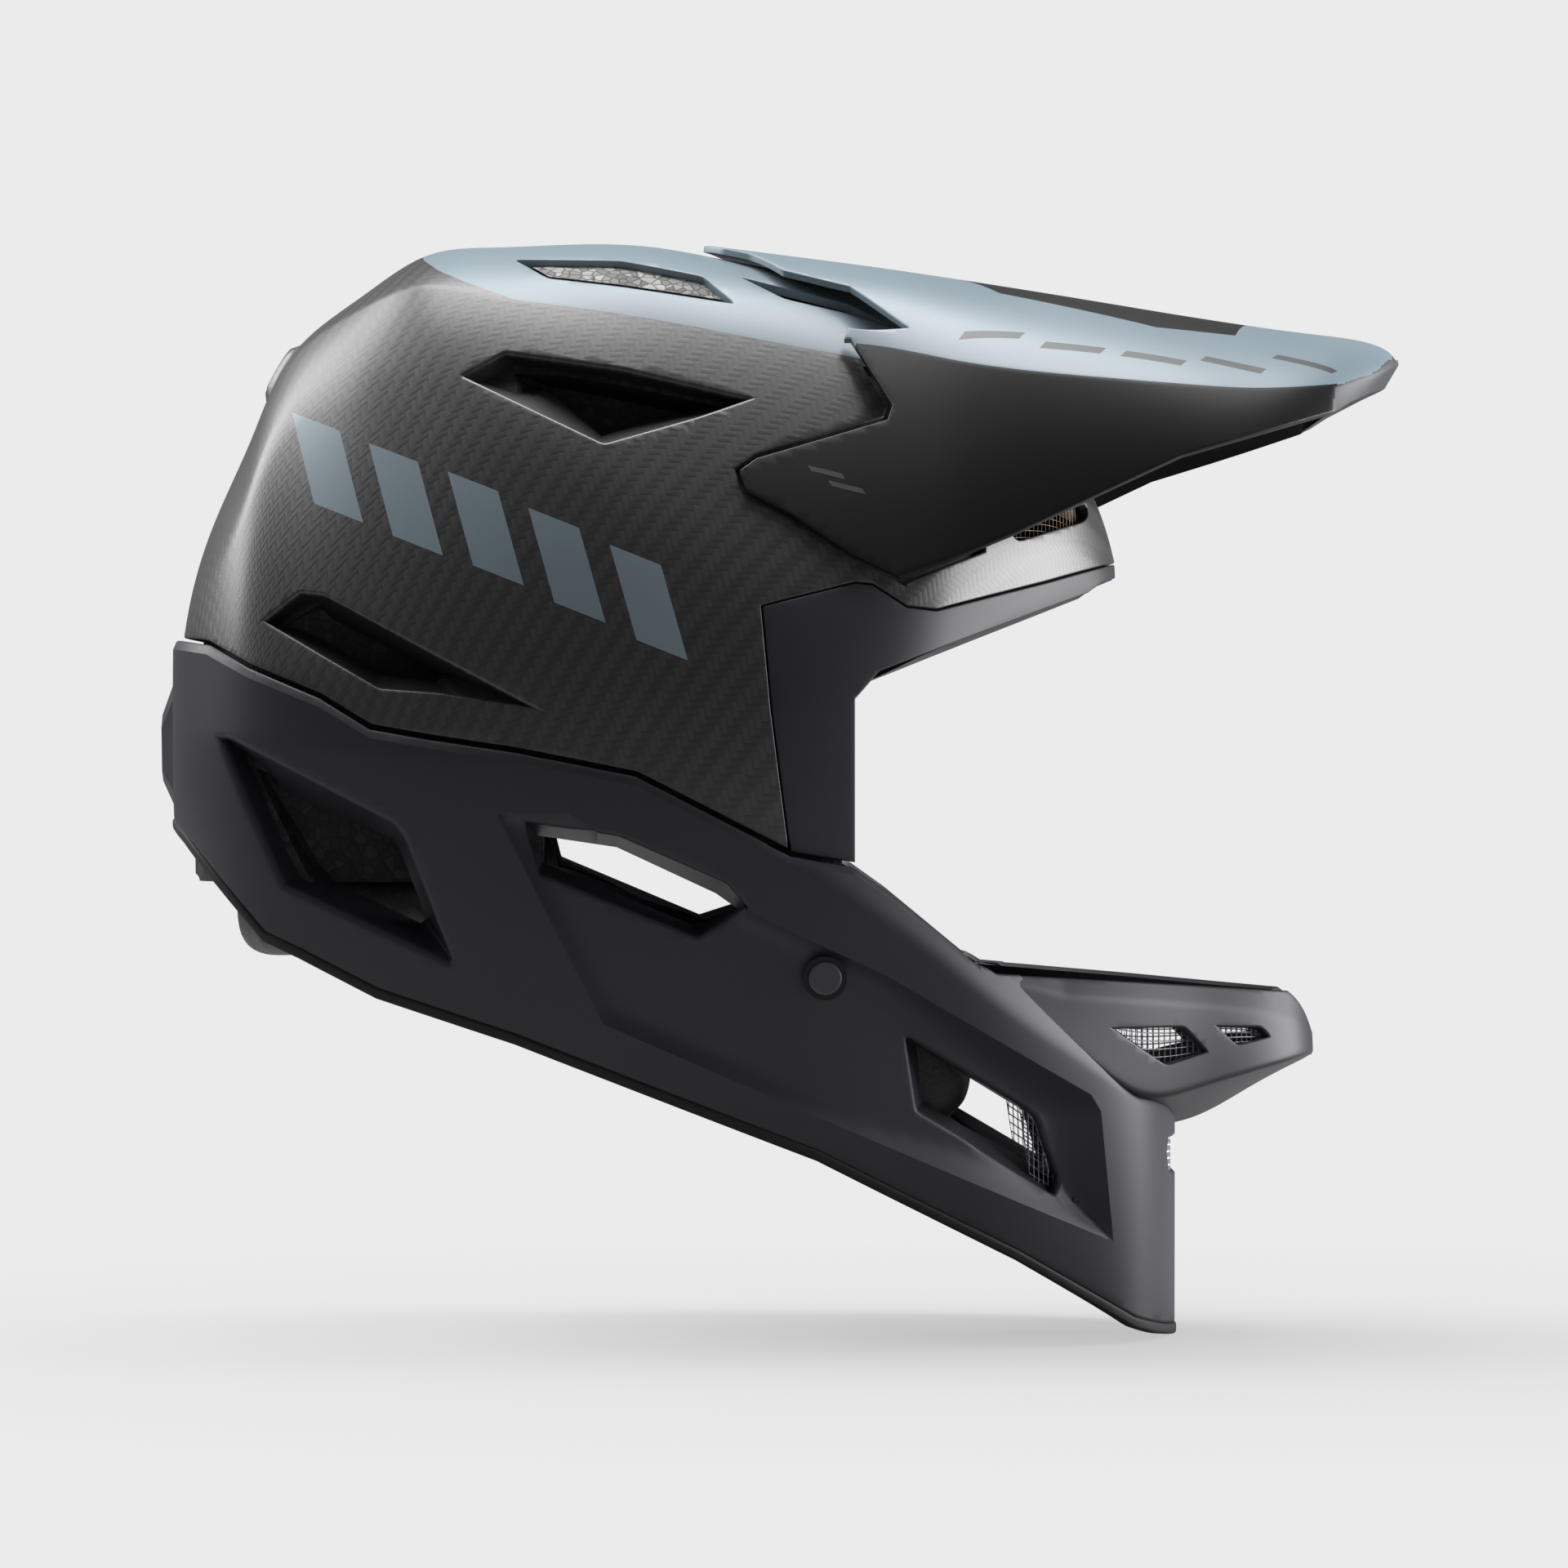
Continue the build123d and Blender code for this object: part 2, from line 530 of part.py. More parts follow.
def strap_left():
    return webbing(STRAP_LEFT, 10, STRAP_X - STRAP_WIDTH / 2, STRAP_X + STRAP_WIDTH / 2)


def strap_end():
    """The end of the left strap, which stays with the sliding half of the buckle."""
    x0, x1 = STRAP_X - STRAP_WIDTH / 2, STRAP_X + STRAP_WIDTH / 2
    z = STRAP_LEFT[-1][1]
    return block(x0, x1, SLIDER_END + 0.2, STRAP_CUT - STRAP_GAP, z - STRAP_THICK / 2, z + STRAP_THICK / 2)


def strap_keeper():
    x0, x1 = STRAP_X - STRAP_WIDTH / 2, STRAP_X + STRAP_WIDTH / 2
    outer = block(x0 - 2, x1 + 2, -46, -38, STRAP_LOW - 3, STRAP_LOW + 3)
    return outer - block(x0 - 0.05, x1 + 0.05, -50, -30, STRAP_LOW - 1.05, STRAP_LOW + 1.05)


def anchor_plate():
    """A steel plate behind the rivet, with the slot that the strap is sewn through."""
    plate = block(ANCHOR_X - 9, ANCHOR_X + 9, PLATE_Y, PLATE_Y + 1.5, -84, -64)
    plate = fillet(plate.edges().filter_by(Axis.Y), 2.5)
    slot = block(ANCHOR_X - 6, ANCHOR_X + 6, PLATE_Y - 1, PLATE_Y + 3, -82, -79.5)
    return plate - slot - rod(ANCHOR_X, ANCHOR_Z, RIVET_RADIUS + 0.05, 90, 130)


def anchor_rivet():
    """The round cap outside and the rivet's shank through the shell to the plate."""
    shank = rod(ANCHOR_X, ANCHOR_Z, RIVET_RADIUS, PLATE_Y, CAP_Y)
    cap = rod(ANCHOR_X, ANCHOR_Z, CAP_RADIUS, CAP_Y, CAP_Y + 1.6)
    return shank + fillet(cap.edges().sort_by(Axis.Y)[-1], 0.9)


def anchor_ring():
    ring = rod(ANCHOR_X, ANCHOR_Z, RING_RADIUS, CAP_Y - 0.6, CAP_Y + 1.2)
    return ring - rod(ANCHOR_X, ANCHOR_Z, CAP_RADIUS + 0.1, 90, 140) - lower()


def buckle_base():
    """The lower half of the buckle: a channel open to the front, with a bar for the right strap."""
    x0, x1 = STRAP_X - 12, STRAP_X + 12
    base = block(x0, x1, BUCKLE_Y - 15, BUCKLE_Y + 15, -120, -111.5)
    base = fillet(base.edges().filter_by(Axis.Z), 3)
    base = base - block(x0 + 3, x1 + 5, BUCKLE_Y - 11.3, BUCKLE_Y + 11.3, -117.3, -113.2)
    return base - block(x0 + 5, x1 + 5, BUCKLE_Y - 7.3, BUCKLE_Y + 7.3, -114, -110)


def buckle_slider():
    """The upper half: a foot that slides in the channel, under a cover plate with the strap's bar."""
    x0, x1 = STRAP_X - 12, STRAP_X + 12
    foot = block(x0 + 3.3, x1 - 0.5, BUCKLE_Y - 11, BUCKLE_Y + 11, -117, -113.5)
    neck = block(x0 + 5.3, x1 - 0.5, BUCKLE_Y - 7, BUCKLE_Y + 7, -113.5, -111)
    cover = fillet(block(x0, x1, BUCKLE_Y - 15, SLIDER_END, -111, -107.6).edges().filter_by(Axis.Z), 3)
    return foot + neck + cover


def pull_tab():
    tab = block(STRAP_X + 12.2, STRAP_X + 25, BUCKLE_Y - 6, BUCKLE_Y + 6, -110.4, -108.6)
    return fillet(tab.edges().filter_by(Axis.Z), 2)


def pad_snaps(foam, pad):
    """Press studs that hold the cheek pad to its foam."""
    studs = []
    for x, z in SNAP_PLACES:
        stud = rod(x, z, 5, 70, 100) - foam - pad
        studs.append(stud.solids().sort_by(SortBy.VOLUME)[-1])
    return studs


def meshes():
    """The fine grilles behind the chin guard's, the mouth's and the brow's openings."""
    chin = (guard(3.4) & prism(CHIN_MESH)) - guard(3.4 + MESH_THICK, 30)
    mouth = (lower(10.4) & prism(MOUTH_MESH)) - lower(10.4 + MESH_THICK, 20)
    brow = (dome(3.2) & prism(BROW_MESH)) - dome(3.2 + MESH_THICK)
    front = (lower(3.4) & prism(FRONT_MESH)) - lower(3.4 + MESH_THICK, 20)
    return whole(chin), pair(mouth), whole(brow), whole(front)


def main():
    skin = dome()
    save("carbon_shell", carbon_shell(skin))
    save("eyeport_frame", eyeport_frame(skin))
    save("lower_shell", lower_shell())
    blade = visor()
    save("visor", blade)
    save("visor_pegs", *visor_pegs(blade))
    save("pivot_bushes", *pivot_bushes())
    save("edge_trim", edge_trim())
    save("rear_centre_panel", rear_centre_panel())
    save("eps_head_liner", *head_liner(head_space()))
    foam = cheek_foam()
    save("eps_cheek_left", foam)
    save("eps_cheek_right", foam.mirror(Plane.XZ))
    save("eps_chin_bar", chin_foam())
    chin, mouth, brow, front = meshes()
    save("chin_guard_mesh", chin)
    save("mouth_vent_meshes", *mouth)
    save("brow_vent_mesh", brow)
    save("chin_front_mesh", front)
    pad = cheek_pad()
    save("cheek_pad_left", pad)
    save("cheek_pad_right", pad.mirror(Plane.XZ))
    save("brow_pad", brow_pad())
    save("crown_pad", crown_pad())
    save("neck_roll", neck_roll())
    studs = pad_snaps(foam, pad)
    save("cheek_pad_snaps", *studs, *[stud.mirror(Plane.XZ) for stud in studs])
    save("strap_right", strap_right())
    save("strap_left", strap_left())
    save("strap_end", strap_end())
    save("strap_keeper", strap_keeper())
    save("anchor_plates", *pair(anchor_plate()))
    save("anchor_rivets", *pair(anchor_rivet()))
    save("anchor_rings", *pair(anchor_ring()))
    save("buckle_base", buckle_base())
    save("buckle_slider", buckle_slider())
    save("buckle_pull_tab", pull_tab())


main()
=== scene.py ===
from functools import partial
from math import cos, pi, radians, sin

import bmesh
import bpy
import numpy as np
from bmesh.types import BMEdge, BMFace, BMVert
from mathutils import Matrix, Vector


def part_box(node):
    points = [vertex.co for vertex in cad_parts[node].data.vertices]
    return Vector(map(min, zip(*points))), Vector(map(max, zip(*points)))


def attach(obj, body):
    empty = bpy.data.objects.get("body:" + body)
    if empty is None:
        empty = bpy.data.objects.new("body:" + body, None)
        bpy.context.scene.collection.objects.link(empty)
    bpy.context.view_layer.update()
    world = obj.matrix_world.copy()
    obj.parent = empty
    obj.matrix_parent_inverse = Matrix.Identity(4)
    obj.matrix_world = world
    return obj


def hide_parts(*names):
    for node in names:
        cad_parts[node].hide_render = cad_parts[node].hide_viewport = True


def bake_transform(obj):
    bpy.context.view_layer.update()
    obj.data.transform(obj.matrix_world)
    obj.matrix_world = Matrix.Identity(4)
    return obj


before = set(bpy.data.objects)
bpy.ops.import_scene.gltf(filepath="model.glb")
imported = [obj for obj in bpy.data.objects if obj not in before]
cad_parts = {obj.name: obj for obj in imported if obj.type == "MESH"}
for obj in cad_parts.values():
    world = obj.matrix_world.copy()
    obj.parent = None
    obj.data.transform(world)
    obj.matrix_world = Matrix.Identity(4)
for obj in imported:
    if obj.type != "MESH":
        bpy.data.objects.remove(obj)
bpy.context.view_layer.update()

scene = bpy.context.scene

# Camera, in the photograph's place
camera_data = bpy.data.cameras.new("camera")
camera_data.lens = 180
camera_data.sensor_width = 36
camera_data.clip_end = 20
camera = bpy.data.objects.new("camera", camera_data)
camera.location = (0.040, -2.400, -0.015)
camera.rotation_euler = (radians(90), 0, 0)
scene.collection.objects.link(camera)
scene.camera = camera
scene.view_settings.view_transform = "Standard"

# Forms of the helmet in millimetres
# The crown and flanks: x, crown height, then y and z of the crown edge,
# of the character line, of the widest point and of the foot.
DOME = [
    (-143, 24, (16, 21), (30, 12), (40, -6), (36, -42)),
    (-140, 44, (26, 39), (48, 26), (60, -4), (55, -48)),
    (-133, 66, (34, 60), (61, 42), (78, 0), (72, -54)),
    (-121, 93, (37, 87), (68, 66), (92, 4), (86, -58)),
    (-104, 122.5, (32, 118), (60, 97), (101, 6), (94, -60)),
    (-88, 134.5, (38, 128), (66, 103), (106, 8), (100, -60)),
    (-69, 146.5, (46, 134.5), (76, 100), (111, 9), (105, -60)),
    (-48, 149, (55, 131), (88, 90.5), (114, 9), (107, -60)),
    (-20, 150, (59, 126.8), (98, 77), (117, 6), (109, -60)),
    (5, 148.4, (60, 122.8), (104, 60.8), (118, -2), (110, -62)),
    (20, 145.6, (59.5, 120), (106, 52), (118, -4), (110, -62)),
    (38, 142, (58.5, 116.5), (107, 44), (116.5, -6), (108, -62)),
    (65, 133.5, (55, 111.5), (101, 43), (108.5, -5), (101, -60)),
    (92, 120, (47, 101), (82, 57), (88.5, 14), (80, -50)),
    (115, 102, (37, 88.5), (56, 63), (62, 28), (56, -40)),
    (130, 82, (24, 75), (36, 60), (41, 35), (37, -30)),
    (138, 64, (14, 60), (22, 52), (26, 37), (23, -20)),
    (141, 53, (8, 51), (12, 46), (14, 37), (12, -12)),
]
# The lower shell: x, then the seam, the ridge, the middle of the side and the rim.
LOWER = [
    (-143.5, (44, 30), (47, 0), (44, -16), (36, -32)),
    (-138.5, (66, 34), (70, -1), (66, -24), (54, -46)),
    (-128, (83, 36), (88, -2), (83, -34), (72, -66)),
    (-113, (96, 36), (100.5, -2), (95, -40), (83, -82)),
    (-81, (106, 30), (111.5, -4), (106, -46), (93, -98)),
    (-46, (112, 25), (117.5, -6), (112, -56), (100, -112)),
    (0, (116, 18), (121.5, -13.5), (115, -66), (103, -128)),
    (42, (110, 0), (119, -36), (113, -80), (101, -142)),
    (75, (97, -20), (109.5, -58), (104, -100), (92, -158)),
    (103, (84, -45), (98, -79), (93, -120), (80, -174)),
    (130, (65, -65), (80, -97), (76, -136), (65, -188)),
    (146, (49, -76), (64, -108), (61, -146), (53, -194)),
    (154, (33, -82), (44, -112), (42, -150), (35, -196)),
    (158.5, (13, -86), (18, -114), (17, -150), (14, -196)),
]
# The chin guard: x, then its rim, its ridge and the height of its keel.
GUARD = [
    (98, (96.5, -67), (98, -78), -124),
    (125, (81, -69), (82.5, -93), -122),
    (148, (64.5, -71), (66, -108), -120),
    (165, (51, -72.5), (54, -105.5), -117),
    (182, (39, -74.5), (43, -101), -108),
    (192, (30, -77.5), (34, -98.5), -102.5),
    (198, (21, -84), (24, -97), -99.5),
    (201, (12, -91), (14, -96.5), -97.8),
]
# The visor: x, height in the middle, then its shoulder and the foot of its side.
VISOR = [
    (12, 150.2, (61, 124.5), (107.5, 57)),
    (38, 146.9, (60, 118.2), (108.8, 45)),
    (65, 143.4, (59.5, 116), (106, 43.5)),
    (92, 139.4, (72, 110.5), (104.5, 51.5)),
    (132, 133, (79, 105.5), (100, 68)),
    (158, 128.7, (77, 103.5), (94, 79)),
    (180, 125.3, (71, 102.6), (85, 86)),
    (197, 123, (63, 103.6), (74, 89)),
    (209, 121.6, (53, 105), (62, 91)),
    (218, 120, (40, 107), (47, 95)),
    (224.5, 117.3, (25, 110), (29, 100)),
    (226.8, 114.8, (14, 112), (17, 104)),
]

# Outlines seen from the side, x and z
SEAM = [(-150, 30), (-131, 27), (-118, 20), (-96, 11), (-81, 2), (-64, -1), (-38, -5), (-3, -12), (42, -35)]
PILLAR = [(36.7, 6), (33.8, 37)]
BROW = [(61, 44), (66, 43.5), (76, 37), (85, 36), (118, 45), (146, 53.5)]
PORT = [(146, 49.5), (136.5, 45.9), (132, 42.6), (86, 25), (68, 18), (61, 10), (61, -38)]
CHIN_TOP = [(61, -38), (73, -46.5), (97.5, -66.6), (103, -70), (148, -73.2), (190, -76.5), (215, -78)]
RIM = [
    (215, -200), (160, -182.5), (145, -177.5), (109, -156), (50, -125.7), (-38.7, -91.5),
    (-79.6, -78.3), (-103, -66.5), (-113.5, -61.8), (-139, -33), (-155, -20),
]
UPPER_VENT = [(-57, 106), (-43, 114), (-8, 109), (32.5, 99.5), (15, 93), (-13, 84.5)]
UPPER_VENT_HOLE = [(-31, 102.5), (-22, 101.5), (9, 95.5), (-14, 88)]
SIDE_VENT = [(-115, 33), (-103, 42.5), (-95, 41.5), (-28, 5.5), (-60, 10.5), (-79, 12)]
SIDE_VENT_HOLE = [(-103, 31.5), (-96, 35), (-60, 17), (-62, 15), (-79, 17)]
CROWN_VENT = [(-42, 143.5), (-31, 136.7), (-9, 134), (26, 128.8), (16, 138), (-9, 143)]
FRONT_VENT = [(26, 138.5), (40, 131), (60, 126.5), (76, 121.5), (60, 130)]
BROW_VENT = [(107.5, 59), (131.5, 70.6), (132.5, 66.5), (131, 64), (110, 57)]
REAR_VENT = [(-129, 0), (-124, 0.5), (-73, -25.5), (-69.5, -30), (-55.5, -66.5), (-57, -69.5), (-108.5, -46)]
REAR_VENT_HOLE = [(-109, -16), (-75, -31), (-73, -34), (-65, -54.5), (-67, -56), (-93, -44)]
CHEEK_VENT = [(-37, -25), (-8, -29), (24, -43), (31, -51), (15, -61), (-32, -42)]
CHEEK_VENT_HOLE = [(-33, -30), (-9, -33.5), (20, -47), (27, -52), (13, -56.5), (-31, -38)]
MOUTH_VENT = [(74.5, -89), (77, -88), (112, -109.5), (116, -113), (122.5, -133), (121, -138), (78, -112)]
MOUTH_VENT_HOLE = [(79, -92), (111, -112), (114.5, -115.5), (119, -131), (80.5, -109)]
CHIN_VENT_REAR = [(136, -87), (160, -87), (168, -95.5), (154, -99.5)]
CHIN_VENT_FRONT = [(168.5, -87), (184, -87.5), (187.5, -91.5), (176, -94)]
SIDE_PANEL = [
    (-44, -23), (-23, -23.5), (29, -52), (70, -71), (131, -107), (134, -112), (138, -151), (-13, -85),
]
WING = [
    (74, 45.6), (60, 52.6), (42, 64.5), (29, 71.2), (27, 77.5),
    (31.9, 81.2), (70.6, 93.2), (72, 97.5), (60, 118),
]
WING_POCKET_END = [(62, 112), (100, 112), (100, 53.6), (88.5, 48.9), (76, 43.6)]
VISOR_SIDE = [
    (10, 118), (10, 160), (240, 160), (240, 112), (219, 103.5), (210, 99.2),
    (205.3, 96.3), (196.8, 93.8), (157, 81.8), (108, 58.7), (88.5, 50.7),
] + WING
# Slanted bars painted on the flank, and dashes on the visor's top (x and y) and side
FLANK_BARS = [(-97, 79), (-73, 69), (-49, 60), (-25, 49), (-1, 38)]
BAR = [(-10, 17), (5, 11), (13, -17), (-2, -11)]
TOP_DASHES = [(102, 62), (126, 66), (150, 66), (174, 61), (196, 50)]
DASH = [(-10, 2.2), (8, 2.2), (10, -1.2), (-8, -1.2)]
SIDE_MARKS = [(52, 76), (58, 71.5)]
MARK = [(-5, 3), (5, 0.5), (6, -1.2), (-4, 1.3)]
# Outline of the tongue and its notches from above, x and y
TONGUE_BACK = [
    (-10, -1), (15, -1), (21, 11), (30, 18), (40, 32), (60, 37),
    (77, 56), (59, 54), (56, 64), (56, 130), (-10, 130),
]
# The end of the crown's paint, x and z: it curves down from the middle to the crown's edge
PAINT_END = [(-71, 165), (-71, 147.4), (-69, 143.5), (-64, 139.6), (-56, 135.8), (-40, 129.5)]
VISOR_PANEL = [(90, -1), (94, 10), (105, 31), (152, 44), (176, 38), (183, -1)]
FRONT_VENT_HALF = [(-1, -121), (34, -121), (38, -126), (33, -132.5), (-1, -134)]
# The patches of wire mesh
CHIN_MESH = [(132, -84), (191, -85), (189, -94), (176, -97), (153, -103), (134, -95)]
FRONT_MESH = [(140, -115), (170, -115), (170, -136), (140, -136)]
MOUTH_MESH = [(109, -106), (122, -111), (128, -137), (113, -133)]
BROW_MESH = [(104, 60), (130, 73), (136, 70), (134, 62), (108, 53)]
# The axes of an outline's plane
SIDE, ABOVE, AHEAD = (0, 2), (0, 1), (1, 2)

# Sizes in millimetres
GAP = 0.5           # half of a joint line, taken off each part
ROLL = 0.45         # radius of a moulded edge
RIM_ROLL = 0.9      # radius of the lower shell's edge
CARBON_WALL, FRAME_DEPTH, VISOR_WALL, LOWER_WALL, TRIM_DEPTH = 2.6, 7.5, 2.0, 2.8, 3.9
POCKET_DEPTH = 3.4  # of the place where the visor's wing lies
VENT_CORNER = 1.8   # radius of a vent's corners
STRAP_WIDE, STRAP_THICK, STRAP_X = 22, 1.4, 53
TOW = 2.3           # width of a carbon tow
GRAIN = 0.35        # pitch of a plastic's grain
COLUMNS = 150       # of the large forms, not a length
# Columns that close the lower shell's ends: the share of the width and x added
LOWER_REAR = [(0.96, 0.2), (0.85, 0.5), (0.6, 0.8), (0.3, 0.9), (0.0, 0.9)]
LOWER_FRONT = [(0.7, 0.5), (0.35, 0.8), (0.0, 0.9)]


# Colours and shader nodes
def colour(code):
    """An sRGB hex colour as linear values for a socket."""
    parts = [int(code[i:i + 2], 16) / 255 for i in (1, 3, 5)]
    return (*[c / 12.92 if c <= 0.04045 else ((c + 0.055) / 1.055) ** 2.4 for c in parts], 1.0)


def feed(made, **inputs):
    """Sets a node's inputs, by name or by number as in i0, to a value, a node or one output of a node."""
    for key, value in inputs.items():
        socket = made.inputs[int(key[1:]) if key[1:].isdigit() else key.replace("_", " ")]
        if isinstance(value, bpy.types.Node):
            value = value.outputs[0]
        if isinstance(value, bpy.types.NodeSocket):
            made.id_data.links.new(value, socket)
        else:
            socket.default_value = value


def add(tree, kind, *values, settings=None, stops=(), **inputs):
    """One shader node with its settings, stops and inputs. A kind in capitals is a math operation."""
    made = tree.nodes.new("ShaderNode" + ("Math" if kind.isupper() else kind))
    if kind.isupper():
        made.operation = kind
    for key, value in (settings or {}).items():
        setattr(made, key, value)
    if stops:
        elements = made.color_ramp.elements
        while len(elements) < len(stops):
            elements.new(0.5)
        for element, (at, code) in zip(elements, stops):
            element.position = at
            element.color = colour(code) if isinstance(code, str) else (code, code, code, 1)
    feed(made, **{f"i{n}": value for n, value in enumerate(values)}, **inputs)
    return made


def finish_of(name):
    """A new material, its surface, and what adds a node to it."""
    material = bpy.data.materials.new(name)
    material.use_nodes = True
    return material, material.node_tree.nodes["Principled BSDF"], partial(add, material.node_tree)


# Materials
def woven_carbon():
    """Carbon laminate in twill under a satin clear coat: tows 2.3 mm wide, the tow on top and each tow's
    crown painted lighter as sheen, over a slight clouding of tone.
    """
    material, shader, node = finish_of("woven_carbon_laminate")
    place = node("UVMap", settings={"uv_map": "weave"})
    turned = node("VectorRotate", settings={"rotation_type": "Z_AXIS"}, Vector=place, Angle=radians(8))
    across, along = [node("DIVIDE", part, TOW) for part in node("SeparateXYZ", Vector=turned).outputs[:2]]
    total = node("ADD", node("FLOOR", across), node("FLOOR", along))
    on_top = node("LESS_THAN", node("FLOORED_MODULO", total, 4.0), 1.5)
    crowns = [node("SINE", node("MULTIPLY", node("FRACT", way), pi)) for way in (across, along)]
    height = node("Mix", on_top, settings={"data_type": "FLOAT"}, i2=crowns[1], i3=crowns[0])
    fibres = [node("SINE", node("MULTIPLY", way, 44.0)) for way in (across, along)]
    fibres = node("Mix", on_top, settings={"data_type": "FLOAT"}, i2=fibres[1], i3=fibres[0])
    relief = node("ADD", height, node("MULTIPLY", fibres, 0.12))
    cloud = node("TexNoise", Vector=place, Scale=0.05, Detail=2.0)
    # painted sheen: the tow lying on top and the crown of each tow are painted lighter, with a slight
    # clouding of tone added
    tone_with_painted_shading = node("ADD", node("MULTIPLY", on_top, 0.42), node("MULTIPLY", height, 0.34))
    tone_with_painted_shading = node("ADD", tone_with_painted_shading, node("MULTIPLY", cloud, 0.3))
    tint = node("ValToRGB", tone_with_painted_shading, stops=[(0.1, "#343334"), (0.55, "#403e40"), (1.0, "#4a484a")])
    rough = node("MapRange", Value=on_top, To_Min=0.4, To_Max=0.45)
    bump = node("Bump", Strength=0.3, Distance=0.00012, Height=relief)
    feed(shader, Base_Color=tint, Metallic=0.45, Roughness=rough, Normal=bump, Coat_Weight=0.5,
         Coat_Roughness=0.28)
    return material


def grained(name, base, light, roughness, coat=0.0, mirror=0.5):
    """Moulded or painted plastic: a fine even grain, slight clouding of tone and of gloss."""
    material, shader, node = finish_of(name)
    place = node("TexCoord").outputs["Object"]
    cloud = node("TexNoise", Vector=place, Scale=14.0, Detail=3.0)
    fine = node("TexNoise", Vector=place, Scale=1000 / GRAIN / 2, Detail=2.0)
    tint = node("ValToRGB", cloud, stops=[(0.3, base), (0.7, light)])
    rough = node("MapRange", Value=cloud, To_Min=roughness - 0.04, To_Max=roughness + 0.05)
    bump = node("Bump", Strength=0.25, Distance=0.00004, Height=fine)
    feed(shader, Base_Color=tint, Roughness=rough, Normal=bump, Specular_IOR_Level=mirror, Coat_Weight=coat,
         Coat_Roughness=0.25)
    return material


def bead_foam():
    """Expanded polystyrene: beads 3 mm across pressed flat together, grey at the crown and black below."""
    material, shader, node = finish_of("expanded_bead_foam")
    place = node("TexCoord").outputs["Object"]
    beads = node("TexVoronoi", settings={"feature": "DISTANCE_TO_EDGE"}, Vector=place, Scale=330.0)
    cells = node("TexVoronoi", Vector=place, Scale=330.0)
    speck = node("SeparateColor", Color=cells.outputs["Color"])
    height = node("SeparateXYZ", Vector=place).outputs[2]
    crown = node("ValToRGB", node("MULTIPLY", height, 8.0), stops=[(0.88, 0.0), (0.94, 1.0)])
    grey = node("ValToRGB", speck, stops=[(0.0, "#6f6f6e"), (0.6, "#979795"), (1.0, "#b9b9b6")])
    black = node("ValToRGB", speck, stops=[(0.0, "#141416"), (0.6, "#1e1e20"), (1.0, "#2e2e31")])
    body = node("Mix", crown, settings={"data_type": "RGBA"}, i6=black, i7=grey).outputs[2]
    seam = node("ValToRGB", beads, stops=[(0.0, 0.15), (0.12, 1.0)])
    tint = node("Mix", 1.0, settings={"data_type": "RGBA", "blend_type": "MULTIPLY"}, i6=body, i7=seam)
    bump = node("Bump", Strength=0.6, Distance=0.0005, Height=beads)
    feed(shader, Base_Color=tint.outputs[2], Roughness=0.75, Normal=bump)
    return material


def wire(name, code):
    """Drawn steel wire: bright metal with a slight variation of gloss."""
    material, shader, node = finish_of(name)
    cloud = node("TexNoise", Vector=node("TexCoord").outputs["Object"], Scale=120.0)
    rough = node("MapRange", Value=cloud, To_Min=0.25, To_Max=0.45)
    feed(shader, Base_Color=colour(code), Metallic=1.0, Roughness=rough)
    return material


def leather():
    """Synthetic leather: a pebbled grain of 1 mm cells with soft creases between, the creases painted darker
    as shade.
    """
    material, shader, node = finish_of("black_synthetic_leather")
    place = node("TexCoord").outputs["Object"]
    cells = node("TexVoronoi", settings={"feature": "SMOOTH_F1"}, Vector=place, Scale=900.0)
    # painted shade: the colour darkens from each cell's middle towards the creases
    tint = node("ValToRGB", cells, stops=[(0.1, "#2b2b2d"), (0.7, "#1b1b1d")])
    bump = node("Bump", settings={"invert": True}, Strength=0.5, Distance=0.0002, Height=cells)
    feed(shader, Base_Color=tint, Roughness=0.5, Normal=bump)
    return material


def knit(name, dark, light, pitch):
    """Spacer knit: small round openings in rows, at a pitch in millimetres, with a soft sheen; the openings
    are painted dark as shade.
    """
    material, shader, node = finish_of(name)
    place = node("TexCoord").outputs["Object"]
    cells = node("TexVoronoi", Vector=place, Scale=1000 / pitch, Randomness=0.25)
    # painted shade: the openings are darkest in their middles
    tint = node("ValToRGB", cells, stops=[(0.25, dark), (0.55, light)])
    bump = node("Bump", Strength=0.6, Distance=0.0004, Height=cells)
    feed(shader, Base_Color=tint, Roughness=0.85, Sheen_Weight=0.3, Normal=bump)
    return material


def strap_weave():
    """Polyester webbing: ribs 1.3 mm apart across the strap, with a finer cross rib; the hollows of the ribs
    are painted darker as shade.
    """
    material, shader, node = finish_of("polyester_webbing")
    parts = node("SeparateXYZ", Vector=node("UVMap", settings={"uv_map": "weave"}))
    ribs = node("SINE", node("MULTIPLY", parts.outputs[0], 2 * pi / 1.3))
    cross = node("SINE", node("MULTIPLY", parts.outputs[1], 2 * pi / 1.8))
    relief = node("ADD", ribs, node("MULTIPLY", cross, 0.6))
    # painted shade: darker in the ribs' hollows and lighter on their crests, following the relief
    tone_with_painted_shading = node("ADD", node("MULTIPLY", relief, 0.3), 0.5)
    tint = node("ValToRGB", tone_with_painted_shading, stops=[(0.0, "#111113"), (1.0, "#27272a")])
    bump = node("Bump", Strength=0.5, Distance=0.0003, Height=relief)
    feed(shader, Base_Color=tint, Roughness=0.75, Normal=bump)
    return material


